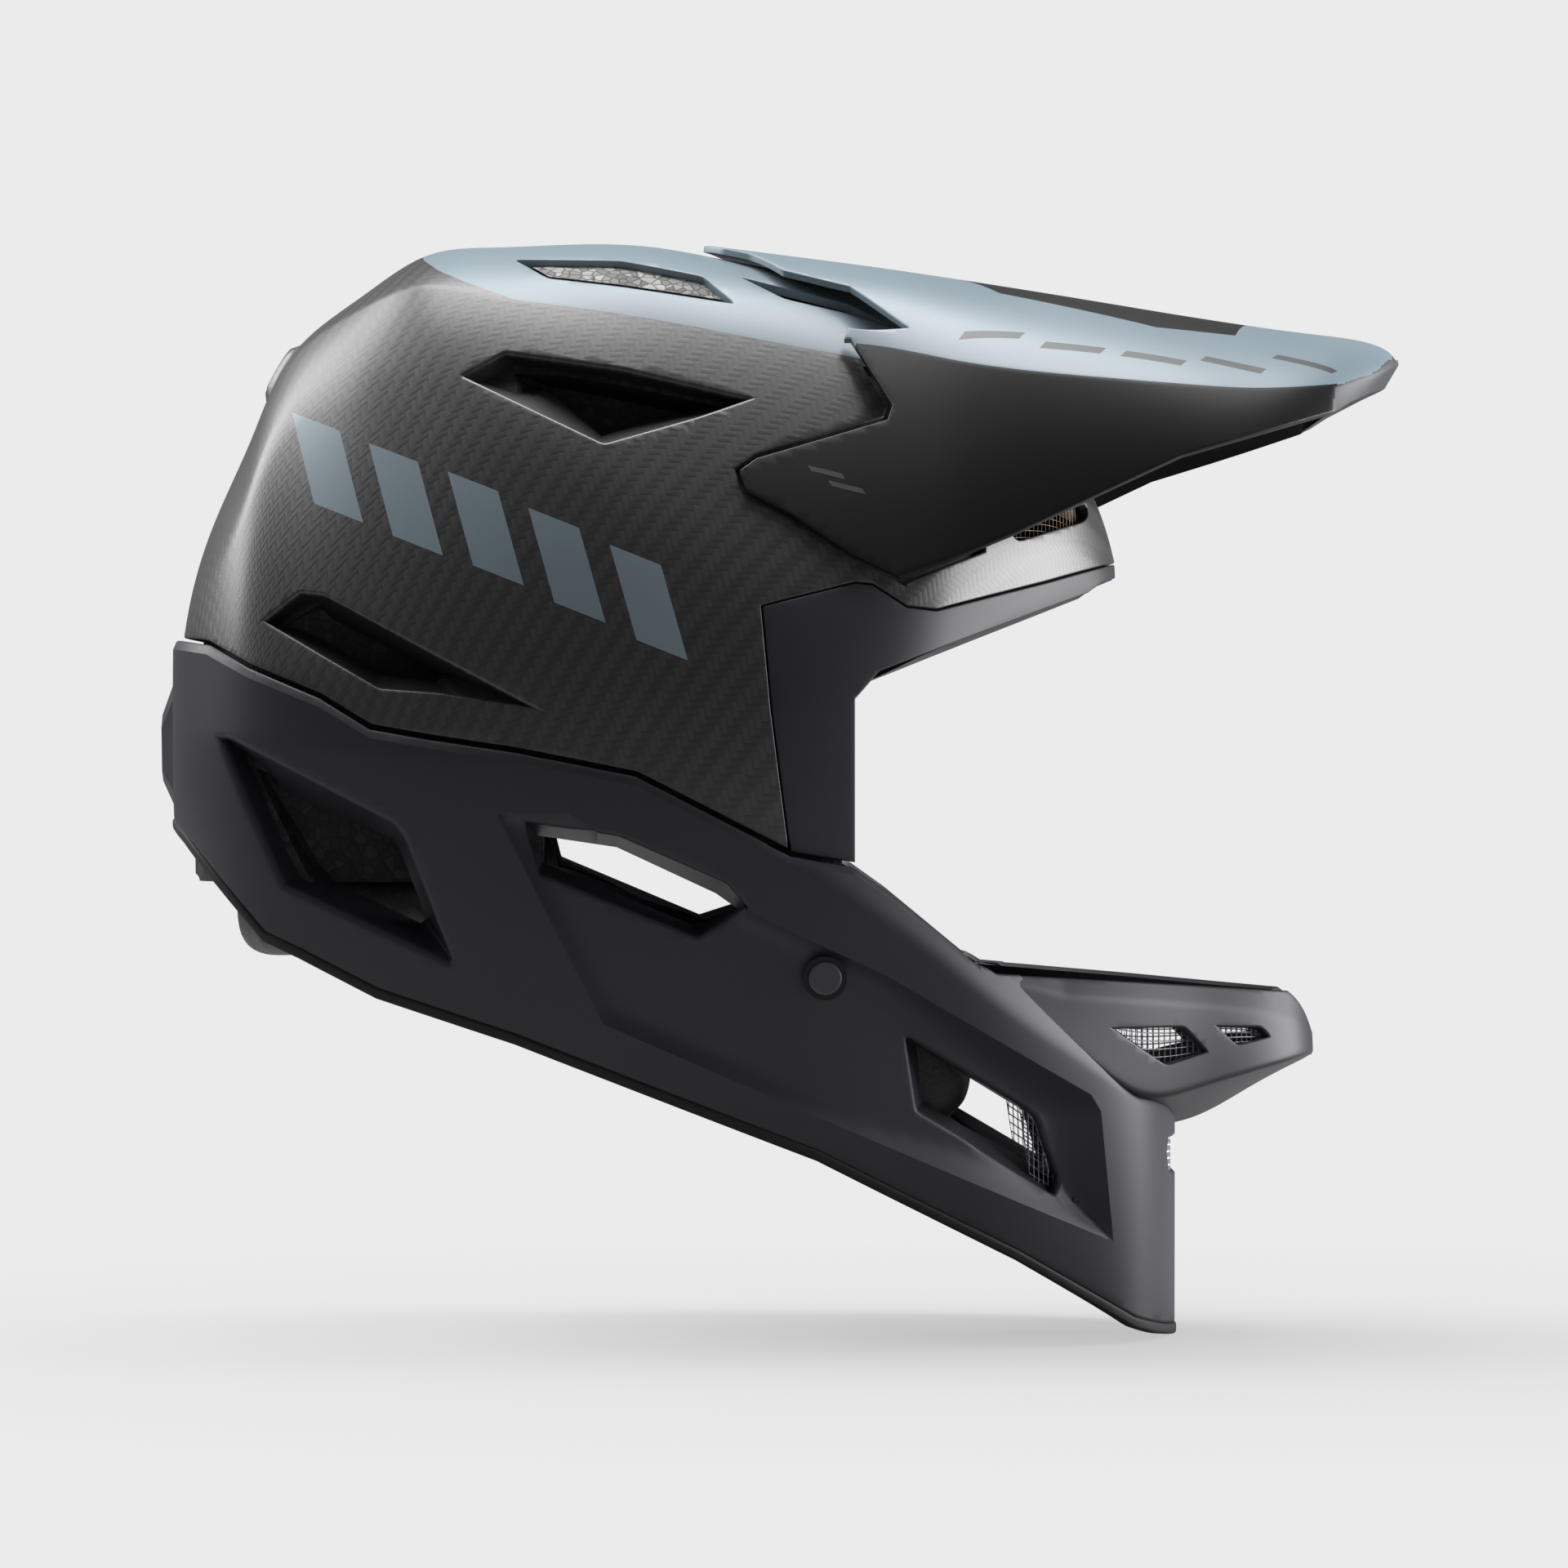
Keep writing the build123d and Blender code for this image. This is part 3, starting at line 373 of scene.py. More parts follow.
CARBON = woven_carbon()
WIRE = wire("drawn_steel_wire", "#9a9aa0")
BRONZE_WIRE = wire("bronzed_steel_wire", "#5a4c40")
STEEL = wire("plated_steel", "#a8a8ab")
LEATHER = leather()
GREY_FABRIC = knit("grey_spacer_knit", "#2c2c2e", "#6c6c6f", 2.2)
WEBBING = strap_weave()
CAP_GREY = grained("grey_satin_polyamide", "#46474c", "#4c4d52", 0.45)
SLATE = grained("slate_satin_paint", "#7b8c96", "#82939c", 0.4, coat=0.15)
BLACK = grained("matte_moulded_polycarbonate", "#23242c", "#292a32", 0.48)
SMOOTH_BLACK = grained("satin_black_moulding", "#111113", "#151517", 0.4, mirror=0.32)
# near-black: real plastic on the buckle, painted shade on the carbon shell's wing pocket floor and vent
# funnels
BLACK_PLASTIC_AND_PAINTED_RECESS_SHADE = grained("black_plastic_and_painted_recess_shade", "#0f0f11", "#141416", 0.6)
# grey: real print on the visor's dashes and marks, and a painted highlight on the visor's front lip
GREY_PRINT_AND_PAINTED_HIGHLIGHT = grained("grey_print_and_painted_lip_highlight", "#45474b", "#4b4d51", 0.42)
RUBBER = grained("soft_black_rubber", "#0d0d0f", "#121214", 0.7)
FOAM = bead_foam()


# Surfaces
def travel(points):
    """The way covered along a run of points, at each of them."""
    return np.concatenate([[0], np.cumsum(np.linalg.norm(np.diff(points, axis=0), axis=1))])


def smooth_rows(rows):
    """A station table as one smooth run: takes a share of its length and gives the values there."""
    flat = [[row[0], *np.concatenate([np.atleast_1d(item) for item in row[1:]])] for row in rows]
    flat = np.array(flat, float)
    at = travel(flat)
    count = len(at)
    system, right = np.eye(count), np.zeros_like(flat)
    for i in range(1, count - 1):
        before, after = at[i] - at[i - 1], at[i + 1] - at[i]
        system[i, i - 1:i + 2] = before, 2 * (before + after), after
        right[i] = 6 * ((flat[i + 1] - flat[i]) / after - (flat[i] - flat[i - 1]) / before)
    bend = np.linalg.solve(system, right)

    def values(share):
        place = min(max(share, 0.0), 1.0) * at[-1]
        i = min(int(np.searchsorted(at, place, side="right")) - 1, count - 2)
        gap = at[i + 1] - at[i]
        p, q = (at[i + 1] - place) / gap, (place - at[i]) / gap
        curve = (p ** 3 - p) * bend[i] + (q ** 3 - q) * bend[i + 1]
        return p * flat[i] + q * flat[i + 1] + curve * gap ** 2 / 6
    return values


def by_x(table, count, columns):
    """A table's first and last x, and what gives its columns as smooth values at an x."""
    values = smooth_rows(table)
    rows = np.array([values(share) for share in np.linspace(0, 1, count)])
    return rows[0, 0], rows[-1, 0], lambda x: [float(np.interp(x, rows[:, 0], rows[:, k])) for k in columns]


def lift(a, b, rise):
    """How far the middle of an arc from a to b stands out, as a vector."""
    return np.array([-(b[1] - a[1]), b[0] - a[0]]) * rise


def crown_lift(top, edge):
    """The same for an arc that leaves the top level."""
    return lift(top, edge, (top[1] - edge[1]) / (4 * max(edge[0], 1e-3)))


def profile(corners, lifts, rounding, counts):
    """Points down one half of a section: an arc between corners, each inner corner rounded."""
    corners = [np.array(c, float) for c in corners]

    def at(i, s):
        return corners[i] * (1 - s) + corners[i + 1] * s + lifts[i] * 4 * s * (1 - s)
    spans = []
    for i in range(len(corners) - 1):
        length = max(np.linalg.norm(corners[i + 1] - corners[i]), 1e-6)
        start = min(rounding[i - 1] / length, 0.4) if i else 0.0
        end = 1 - min(rounding[i] / length, 0.4) if i < len(corners) - 2 else 1.0
        spans.append((start, end))
    points = []
    for i, (start, end) in enumerate(spans):
        if i:
            a, b = at(i - 1, spans[i - 1][1]), at(i, start)
            for s in (0.2, 0.4, 0.6, 0.8):
                points.append(a * (1 - s) ** 2 + corners[i] * 2 * s * (1 - s) + b * s ** 2)
        points += [at(i, s) for s in np.linspace(start, end, counts[i])]
    return np.array(points)


def dome_section(row):
    _, crown, ay, az, by, bz, wy, wz, dy, dz = row
    top, a, b, w, d = (0, crown), (ay, az), (by, bz), (wy, wz), (dy, dz)
    lifts = [crown_lift(top, a), lift(a, b, 0.04), lift(b, w, 0.05), lift(w, d, 0.03)]
    return profile([top, a, b, w, d], lifts, (1.6, 6, 12), (22, 20, 26, 18))


def lower_section(row):
    _, sy, sz, gy, gz, my, mz, ry, rz = row
    s, g, m, r = (sy, sz), (gy, gz), np.array((my, mz)), (ry, rz)
    lifts = [np.zeros(2), m - (np.array(g) + np.array(r)) / 2]
    return profile([s, g, r], lifts, (4,), (12, 34))


def guard_section(row):
    _, py, pz, gy, gz, keel = row
    fall = min(9.0, (pz - gz) * 0.4)
    corners = [(py - fall * 0.6, pz), (py + 0.4, pz - fall), (gy, gz), (0, keel)]
    return profile(corners, [np.zeros(2)] * 3, (1.6, 2.2), (7, 11, 26))


def visor_section(row):
    _, top, ry, rz, ey, ez = row
    t, r, e = (0, top), (ry, rz), (ey, ez)
    return profile([t, r, e], [crown_lift(t, r), lift(r, e, 0.04)], (1.3,), (30, 26))


def surface(table, section, columns, rear=(), front=()):
    """The left half of a form as a grid. Its ends are closed by columns: the share of the width, x added."""
    values = smooth_rows(table)
    lines, stations = [], []
    for share in np.linspace(0, 1, columns):
        row = values(share)
        stations.append(row[0])
        lines.append(section(row))
    for width, shift in rear:
        stations.insert(0, table[0][0] - shift)
        lines.insert(0, section(values(0)) * (width, 1))
    for width, shift in front:
        stations.append(table[-1][0] + shift)
        lines.append(section(values(1)) * (width, 1))
    lines = np.array(lines)
    wide, high = lines.shape[:2]
    down = [travel(line) for line in lines]
    along = travel(np.column_stack([stations, lines[:, high // 2]]))
    bm = bmesh.new()
    bmesh.ops.create_grid(bm, x_segments=wide - 1, y_segments=high - 1, size=0.5)
    weave = bm.loops.layers.uv.new("weave")
    flat = {}
    for vert in bm.verts:
        i, j = round((vert.co.x + 0.5) * (wide - 1)), round((vert.co.y + 0.5) * (high - 1))
        flat[vert.index] = (along[i], down[i][j])
        vert.co = (stations[i], *lines[i, j])
    for face in bm.faces:
        for loop in face.loops:
            loop[weave].uv = flat[loop.vert.index]
    bmesh.ops.remove_doubles(bm, verts=bm.verts, dist=0.01)
    bm.normal_update()
    outer = [f for f in bm.faces if f.calc_center_median().y > 15]
    if sum(f.calc_area() * (f.normal.y + f.normal.z * 0.2) for f in outer) < 0:
        bmesh.ops.reverse_faces(bm, faces=bm.faces)
    bm.normal_update()
    return bm


def only(geom, kind):
    """The items of one kind in what an operator gives."""
    return [g for g in geom if isinstance(g, kind)]


def with_bounds(faces):
    """Faces with all their edges and points."""
    return faces + list({e for f in faces for e in f.edges}) + list({v for f in faces for v in f.verts})


def score(bm, points, axes, closed=True, where=None):
    """Cuts the faces along an outline that lies in the plane of two axes."""
    a, b = axes
    ends = list(zip(points, points[1:] + points[:1])) if closed else list(zip(points, points[1:]))
    for p, q in ends:
        run = Vector((q[0] - p[0], q[1] - p[1]))
        length = run.length
        run.normalize()
        near = []
        for face in bm.faces:
            if where and not where(face):
                continue
            offs = [(v.co[a] - p[0], v.co[b] - p[1]) for v in face.verts]
            side = [y * run.x - x * run.y for x, y in offs]
            if min(side) > -1e-4 or max(side) < 1e-4:
                continue
            reach = [x * run.x + y * run.y for x, y in offs]
            if max(reach) > -0.2 and min(reach) < length + 0.2:
                near.append(face)
        if not near:
            continue
        origin, normal = Vector(), Vector()
        origin[a], origin[b] = p
        normal[a], normal[b] = -run.y, run.x
        bmesh.ops.bisect_plane(bm, geom=with_bounds(near), dist=1e-3, plane_co=origin, plane_no=normal)


def inside(points, axes):
    """A test of whether a face's middle lies in an outline."""
    a, b = axes

    def test(item):
        middle = item.calc_center_median() if isinstance(item, BMFace) else item.co
        x, y = middle[a], middle[b]
        hit = False
        for (x1, y1), (x2, y2) in zip(points, points[1:] + points[:1]):
            if (y1 > y) != (y2 > y) and x < (x2 - x1) * (y - y1) / (y2 - y1) + x1:
                hit = not hit
        return hit
    return test


def grown(points, by):
    """An outline moved outwards by a distance, or inwards if it is negative."""
    area = sum(p[0] * q[1] - q[0] * p[1] for p, q in zip(points, points[1:] + points[:1]))
    turn = 1 if area > 0 else -1
    made = []
    for before, here, after in zip(points[-1:] + points[:-1], points, points[1:] + points[:1]):
        d1, d2 = (Vector(here) - Vector(before)).normalized(), (Vector(after) - Vector(here)).normalized()
        n1, n2 = Vector((d1.y, -d1.x)) * turn, Vector((d2.y, -d2.x)) * turn
        out = (n1 + n2) / max(1 + n1.dot(n2), 0.35)
        made.append(tuple(Vector(here) + out * by))
    return made


def open_borders(bm):
    """Border edges, but not those in the middle plane."""
    return [e for e in bm.edges if len(e.link_faces) == 1 and not all(abs(v.co.y) < 0.01 for v in e.verts)]


def border_ways(edges):
    """For each border point: the way out of the surface, and the surface's normal."""
    ways = {}
    for edge in edges:
        face = edge.link_faces[0]
        a, b = edge.verts
        out = (b.co - a.co).cross(face.normal).normalized()
        if out.dot(face.calc_center_median() - a.co) > 0:
            out.negate()
        for v in (a, b):
            ways.setdefault(v, []).append(out)
    made = {}
    for v, outs in ways.items():
        out = sum(outs, Vector())
        out = out.normalized() * min(1 / max(out.length / len(outs), 0.6), 1.5)
        normal = v.normal.copy()
        if abs(v.co.y) < 0.01:
            out.y = normal.y = 0
            normal.normalize()
        made[v] = (out, normal)
    return made


def extruded(bm, edges):
    """Extrudes border edges; gives the new edges and, for each new point, the point that it came from."""
    before = {v for e in edges for v in e.verts}
    geom = bmesh.ops.extrude_edge_only(bm, edges=edges)["geom"]
    came = {v: next(e.other_vert(v) for e in v.link_edges if e.other_vert(v) in before)
            for v in only(geom, BMVert)}
    return [e for e in only(geom, BMEdge) if all(v in came for v in e.verts)], came


def rolled(bm, edges, radius, depth, steps=3):
    """Rolls a border over a small radius and carries it down by the wall's depth. Gives the last edges."""
    ways = border_ways(edges)
    start = {v: v.co.copy() for v in ways}
    root = {v: v for v in ways}
    kind = {v: v.link_faces[0].material_index for v in ways}
    for k in range(1, steps + 2):
        edges, came = extruded(bm, edges)
        root = {new: root[old] for new, old in came.items()}
        turn = min(k, steps) * pi / 2 / steps
        for v, first in root.items():
            out, normal = ways[first]
            down = radius * (1 - cos(turn)) if k <= steps else depth
            v.co = start[first] + out * radius * sin(turn) - normal * down
        for e in edges:
            for f in e.link_faces:
                f.material_index = kind[root[e.verts[0]]]
    return edges


def nearest(points, here):
    """The spot on an outline that lies nearest to a point."""
    best, least = None, 1e9
    for p, q in zip(points, points[1:] + points[:1]):
        p, q = Vector(p), Vector(q)
        share = min(max((here - p).dot(q - p) / (q - p).length_squared, 0), 1)
        spot = p + (q - p) * share
        if (spot - here).length < least:
            best, least = spot, (spot - here).length
    return best


def off_outline(points, x, y):
    """The distance of a point from an outline."""
    here = Vector((x, y))
    return (nearest(points, here) - here).length


def funnel(bm, edges, hole, radius, depth, material):
    """A vent's sloped walls: from its rounded mouth inwards to a smaller hole, and a lip behind."""
    edges = rolled(bm, edges, radius, radius + 0.6)
    middle = sum(map(Vector, hole), Vector((0, 0))) / len(hole)
    for stage in ("slope", "wall", "lip"):
        edges, came = extruded(bm, edges)
        for v in came:
            if stage == "slope":
                spot = nearest(hole, Vector((v.co.x, v.co.z)))
                v.co = (spot.x, v.co.y - depth, spot.y)
            elif stage == "wall":
                v.co.y -= 3.0
            else:
                out = (Vector((v.co.x, v.co.z)) - middle).normalized() * 2.5
                v.co += Vector((out.x, 0, out.y))
        for e in edges:
            for f in e.link_faces:
                f.material_index = material


def both_sides(bm):
    """Adds the other half as a mirror image and joins them in the middle plane."""
    copy = bmesh.ops.duplicate(bm, geom=bm.verts[:] + bm.edges[:] + bm.faces[:])["geom"]
    bmesh.ops.scale(bm, vec=(1, -1, 1), verts=only(copy, BMVert))
    bmesh.ops.reverse_faces(bm, faces=only(copy, BMFace))
    bmesh.ops.remove_doubles(bm, verts=[v for v in bm.verts if abs(v.co.y) < 0.02], dist=0.03)


def object_of(name, bm, materials=()):
    """The mesh as an object in the scene."""
    mesh = bpy.data.meshes.new(name)
    bm.to_mesh(mesh)
    bm.free()
    for material in materials:
        mesh.materials.append(material)
    made = bpy.data.objects.new(name, mesh)
    scene.collection.objects.link(made)
    return made


def piece(name, bm, materials, nodes, body="shell", sharp=38):
    """The mesh as a finished piece on its body, in metres."""
    bmesh.ops.scale(bm, vec=(0.001,) * 3, verts=bm.verts)
    bm.normal_update()
    for face in bm.faces:
        face.smooth = True
    crisp = bm.edges.layers.int.get("crisp")
    for edge in bm.edges:
        edge.smooth = len(edge.link_faces) != 2 or edge.calc_face_angle(0) < radians(sharp)
        if crisp and edge[crisp]:
            edge.smooth = False
    made = object_of(name, bm, materials)
    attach(made, body)
    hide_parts(*nodes)
    return made


def merged(bm, other):
    """Adds the faces of another mesh, which is freed."""
    spare = bpy.data.meshes.new("spare")
    other.to_mesh(spare)
    other.free()
    bm.from_mesh(spare)
    bpy.data.meshes.remove(spare)


def remove(bm, test):
    bmesh.ops.delete(bm, geom=[f for f in bm.faces if test(f)], context="FACES")


def trimmed(bm, outline):
    """Cuts a form down to what lies in an outline seen from the side."""
    score(bm, outline, SIDE)
    keep = inside(outline, SIDE)
    remove(bm, lambda f: not keep(f))


def cut_out(bm, outline, axes=SIDE, where=lambda face: True):
    """Cuts an opening through the faces that a test picks."""
    score(bm, outline, axes, where=where)
    gone = inside(outline, axes)
    remove(bm, lambda f: where(f) and gone(f))


def offset(bm, by):
    """Moves every point along its normal."""
    for v in bm.verts:
        v.co += v.normal * by
    bm.normal_update()


def eased(points, radius):
    """An outline with its corners rounded."""
    made = []
    for before, here, after in zip(points[-1:] + points[:-1], points, points[1:] + points[:1]):
        before, here, after = Vector(before), Vector(here), Vector(after)
        a = here + (before - here).normalized() * min(radius, (before - here).length * 0.45)
        b = here + (after - here).normalized() * min(radius, (after - here).length * 0.45)
        turn = [a * 0.375 + here * 0.5 + b * 0.125, a * 0.125 + here * 0.5 + b * 0.375]
        made += [tuple(spot) for spot in (a, *turn, b)]
    return made


def on_outline(points, axes, reach=0.15):
    """A test of whether both ends of an edge lie on an outline."""
    a, b = axes
    return lambda edge: all(off_outline(points, v.co[a], v.co[b]) < reach for v in edge.verts)


def painted(bm, outline, place, axes, index, where):
    """Paints the faces inside an outline set at a place, cutting them along it first."""
    points = [(place[0] + x, place[1] + y) for x, y in outline]
    score(bm, points, axes, where=where)
    test = inside(points, axes)
    for face in bm.faces:
        if where(face) and test(face):
            face.material_index = index


def add_wall(bm, thickness, radius, vents=(), bare=0):
    """The inner skin in its bare material, each vent's funnel, then the rolled rims of all other borders."""
    faces = list(bm.faces)
    rim = open_borders(bm)
    ways = border_ways(rim)
    moved = {}
    for v in bm.verts:
        normal = v.normal.copy()
        if abs(v.co.y) < 0.01:
            normal.y = 0
            normal.normalize()
        moved[v] = v.co - normal * thickness + (ways[v][0] * radius if v in ways else Vector())
    copy = bmesh.ops.duplicate(bm, geom=bm.verts[:] + bm.edges[:] + faces)
    for old, spot in moved.items():
        new = copy["vert_map"][old]
        new.co = spot
    skin = only(copy["geom"], BMFace)
    bmesh.ops.reverse_faces(bm, faces=skin)
    for face in skin:
        face.material_index = bare
    left = list(rim)
    for mouth, hole, mouth_radius, depth, index in vents:
        test = on_outline(mouth, SIDE)
        mine = [e for e in left if test(e)]
        left = [e for e in left if e not in mine]
        if mine:
            funnel(bm, mine, hole, mouth_radius, depth, index)
    rolled(bm, left, radius, thickness)
    bmesh.ops.remove_doubles(bm, verts=bm.verts, dist=0.005)


# Woven upper shell
SHELL_VENTS = [UPPER_VENT, SIDE_VENT, CROWN_VENT, FRONT_VENT, BROW_VENT]
for vent in SHELL_VENTS + [REAR_VENT, CHEEK_VENT, MOUTH_VENT, CHIN_VENT_REAR, CHIN_VENT_FRONT]:
    vent[:] = eased(vent, VENT_CORNER)


def step_between(value, start, end):
    """A smooth step from 0 at the start to 1 at the end."""
    share = min(max((value - start) / (end - start), 0), 1)
    return share * share * (3 - 2 * share)


def back_relief(bm):
    """The small boss high on the back."""
    moves = []
    for v in bm.verts:
        x, y, z = v.co
        if x < -95 and y < 16:
            boss = step_between(z, 101.5, 104) * step_between(z, 118.5, 116) * step_between(y, 16, 13)
            normal = v.normal.copy()
            if y < 0.01:
                normal.y = 0
            moves.append((v, normal * 1.8 * boss))
    for v, way in moves:
        v.co += way
    bm.normal_update()


def carbon_shell():
    bm = surface(DOME, dome_section, COLUMNS)
    back_relief(bm)
    trimmed(bm, grown(SEAM + PILLAR + BROW + [(146, 200), (-150, 200)], -GAP - ROLL))
    score(bm, PAINT_END, SIDE, closed=False, where=lambda face: face.normal.z > 0.2)
    coloured = inside(PAINT_END + [(-40, 60), (112, 60), (112, 165)], SIDE)
    crown_edge = by_x(DOME, 200, [3])[2]
    for face in bm.faces:
        middle = face.calc_center_median()
        if middle.z > crown_edge(middle.x)[0] + 0.2 and coloured(face):
            face.material_index = 1
    for place in FLANK_BARS:
        painted(bm, BAR, place, SIDE, 1, lambda face: face.normal.y > 0.3)
    pocket = grown(WING, 1.2 + ROLL)[:-1] + WING_POCKET_END
    for outline in SHELL_VENTS + [pocket]:
        score(bm, outline, SIDE)
    # The pocket's floor is set aside, and moved in once the walls are made
    in_pocket = inside(pocket, SIDE)
    floor = [f for f in bm.faces if in_pocket(f)]
    copy = bmesh.ops.duplicate(bm, geom=with_bounds(floor))
    patch = only(copy["geom"], BMVert)
    fresh = set(patch)
    normals = {new: old.normal.copy() for old, new in copy["vert_map"].items()
               if isinstance(old, BMVert) and new in fresh}
    bmesh.ops.delete(bm, geom=floor, context="FACES")
    for outline in SHELL_VENTS:
        remove(bm, inside(outline, SIDE))
    ground = bmesh.new()
    spots = {v: ground.verts.new(v.co - normals[v] * POCKET_DEPTH) for v in patch if v.is_valid}
    # The floor is painted near-black, darker than the carbon, as painted shade so the gap round the wing
    # reads dark
    for f in [g for g in copy["geom"] if isinstance(g, BMFace) and g.is_valid]:
        ground.faces.new([spots[v] for v in f.verts]).material_index = 2
    bmesh.ops.delete(bm, geom=list(spots), context="VERTS")
    bm.normal_update()
    # The funnels of these two vents are painted near-black, darker than the carbon, as painted shade inside
    # the vents
    vents = [(UPPER_VENT, UPPER_VENT_HOLE, 1.2, 13, 2), (SIDE_VENT, SIDE_VENT_HOLE, 1.2, 11, 2)]
    add_wall(bm, CARBON_WALL, ROLL, vents)
    merged(bm, ground)
    both_sides(bm)
    piece("upper_shell", bm, [CARBON, SLATE, BLACK_PLASTIC_AND_PAINTED_RECESS_SHADE], ["carbon_shell"])


carbon_shell()


# Frame of the eye port
def eyeport_frame():
    bm = surface(DOME, dome_section, COLUMNS)
    trimmed(bm, grown([(42, -35)] + PILLAR + BROW + PORT, -ROLL))
    offset(bm, -0.15)
    add_wall(bm, FRAME_DEPTH, ROLL)
    both_sides(bm)
    piece("eye_port_frame", bm, [BLACK], ["eyeport_frame"])


eyeport_frame()


# Visor
def visor():
    bm = surface(VISOR, visor_section, 120, front=[(0.8, 0.5), (0.5, 0.9), (0.2, 1.1), (0.0, 1.2)])
    for v in bm.verts:
        share = min(max((v.co.x - 204) / 22, 0), 1)
        v.co.x -= share * 0.6 * max(float(np.interp(v.co.x, (204, 227), (121, 113))) - v.co.z, 0)
    trimmed(bm, grown(VISOR_SIDE, -ROLL))
    cut_out(bm, grown(TONGUE_BACK, ROLL), ABOVE, lambda face: face.calc_center_median().z > 101)
    shoulder = by_x(VISOR, 200, [3])[2]
    for face in bm.faces:
        middle = face.calc_center_median()
        face.material_index = 0 if middle.z > shoulder(middle.x)[0] + 0.1 and face.normal.z > 0.4 else 1
        # painted highlight: the faces turned to the front, the visor's lip, are painted grey
        if face.normal.x > 0.75:
            face.material_index = 2
    top = lambda face: face.normal.z > 0.5
    painted(bm, VISOR_PANEL, (0, 0), ABOVE, 1, top)
    for place in TOP_DASHES:
        painted(bm, DASH, place, ABOVE, 2, top)
    for place in SIDE_MARKS:
        painted(bm, MARK, place, SIDE, 2, lambda face: face.normal.y > 0.4)
    bm.normal_update()
    add_wall(bm, VISOR_WALL, ROLL, bare=1)
    both_sides(bm)
    piece("visor_blade", bm, [SLATE, SMOOTH_BLACK, GREY_PRINT_AND_PAINTED_HIGHLIGHT], ["visor"], "visor_blade")


visor()


# Lower shell with the chin guard
def sunk(bm, points):
    """Sinks the side panel: a little behind the anchor, deeper and with wider slopes round the mouth vent."""
    mark = bm.edges.layers.int.new("crisp")
    score(bm, points, SIDE)
    test = inside(points, SIDE)
    moves = []
    for v in bm.verts:
        if test(v):
            share = step_between(v.co.x, 45, 120)
            slope, depth = 3.6 + 7 * share, 2.2 + 5.5 * share
            run = min(off_outline(points, v.co.x, v.co.z) / slope, 1)
            moves.append((v, v.normal * depth * (run + 0.16 * sin(run * pi))))
    crisp = [e for e in bm.edges if on_outline(points, SIDE, 0.05)(e)]
    for v, way in moves:
        v.co -= way
    bm.normal_update()
    for e in crisp:
        e[mark] = 1


def chamfered(bm, line, wide, deep):
    """Turns the surface in along a line: a facet of a width and depth, behind a crisp ridge."""
    mark = bm.edges.layers.int["crisp"]
    xs, zs = [x for x, z in line], [z - wide for x, z in line]
    score(bm, list(zip(xs, zs)), SIDE, closed=False)
    over = {v: v.co.z - float(np.interp(v.co.x, xs, zs)) for v in bm.verts if xs[0] < v.co.x < xs[-1]}
    for edge in bm.edges:
        if all(abs(over.get(v, 9)) < 0.06 for v in edge.verts):
            edge[mark] = 1
    for v, height in over.items():
        if height > 0.02:
            v.co -= v.normal * deep * min(height / wide, 1.2)
    bm.normal_update()


def guard_reach(gap):
    """A test of whether a point lies inside the chin guard's form by more than a gap."""
    first, last, at = by_x(GUARD, 120, range(1, 6))

    def test(co):
        if not first < co.x < last:
            return False
        py, pz, gy, gz, keel = at(co.x)
        if co.z > gz:
            return abs(co.y) < py + (gy - py) * min(max((pz - co.z) / max(pz - gz, 0.1), 0), 1) - gap
        return co.z > keel + gap and abs(co.y) < gy * (co.z - keel) / max(gz - keel, 0.1) - gap
    return test


def lower_reach(inset):
    """A test of whether a point lies inside the lower form by more than an inset."""
    first, last, at = by_x(LOWER, 160, range(1, 9))

    def test(co):
        if not first < co.x < last - inset:
            return False
        sy, sz, gy, gz, my, mz, ry, rz = at(co.x)
        if co.z > gz:
            wide = sy + (gy - sy) * min(max((sz - co.z) / (sz - gz), 0), 1)
        elif co.z > mz:
            wide = gy + (my - gy) * (gz - co.z) / (gz - mz)
        else:
            wide = my + (ry - my) * min((mz - co.z) / (mz - rz), 1)
        return abs(co.y) < wide - inset
    return test


def lower_shell():
    edge = grown(SEAM + CHIN_TOP + [(x, z + 2.5) for x, z in RIM], -GAP - RIM_ROLL)
    keep = inside(edge, SIDE)
    body = surface(LOWER, lower_section, COLUMNS, LOWER_REAR, LOWER_FRONT)
    sunk(body, SIDE_PANEL)
    score(body, edge, SIDE)
    in_guard = guard_reach(1.0)
    remove(body, lambda f: not keep(f) or in_guard(f.calc_center_median()))
    body.normal_update()
    chamfered(body, SEAM + CHIN_TOP[:3], 3.6, 1.5)
    for outline in (REAR_VENT, CHEEK_VENT, MOUTH_VENT):
        cut_out(body, outline)
    cut_out(body, FRONT_VENT_HALF, AHEAD, lambda face: face.calc_center_median().x > 140)
    body.normal_update()
    add_wall(body, LOWER_WALL, RIM_ROLL, [
        (REAR_VENT, REAR_VENT_HOLE, 2.2, 12, 0), (CHEEK_VENT, CHEEK_VENT_HOLE, 1.4, 13, 0),
        (MOUTH_VENT, MOUTH_VENT_HOLE, 1.6, 9, 0),
    ])
    nose = surface(GUARD, guard_section, 90, front=[(0.6, 0.3), (0.0, 0.5)])
    score(nose, edge, SIDE)
    in_body = lower_reach(1.4)
    remove(nose, lambda f: not keep(f) or in_body(f.calc_center_median()))
    for outline in (CHIN_VENT_REAR, CHIN_VENT_FRONT):
        cut_out(nose, outline, where=lambda face: face.normal.z > -0.4)
    nose.normal_update()
    add_wall(nose, LOWER_WALL, ROLL * 1.6)
    merged(body, nose)
    both_sides(body)
    piece("lower_shell_body", body, [BLACK, BLACK_PLASTIC_AND_PAINTED_RECESS_SHADE], ["lower_shell"])


lower_shell()


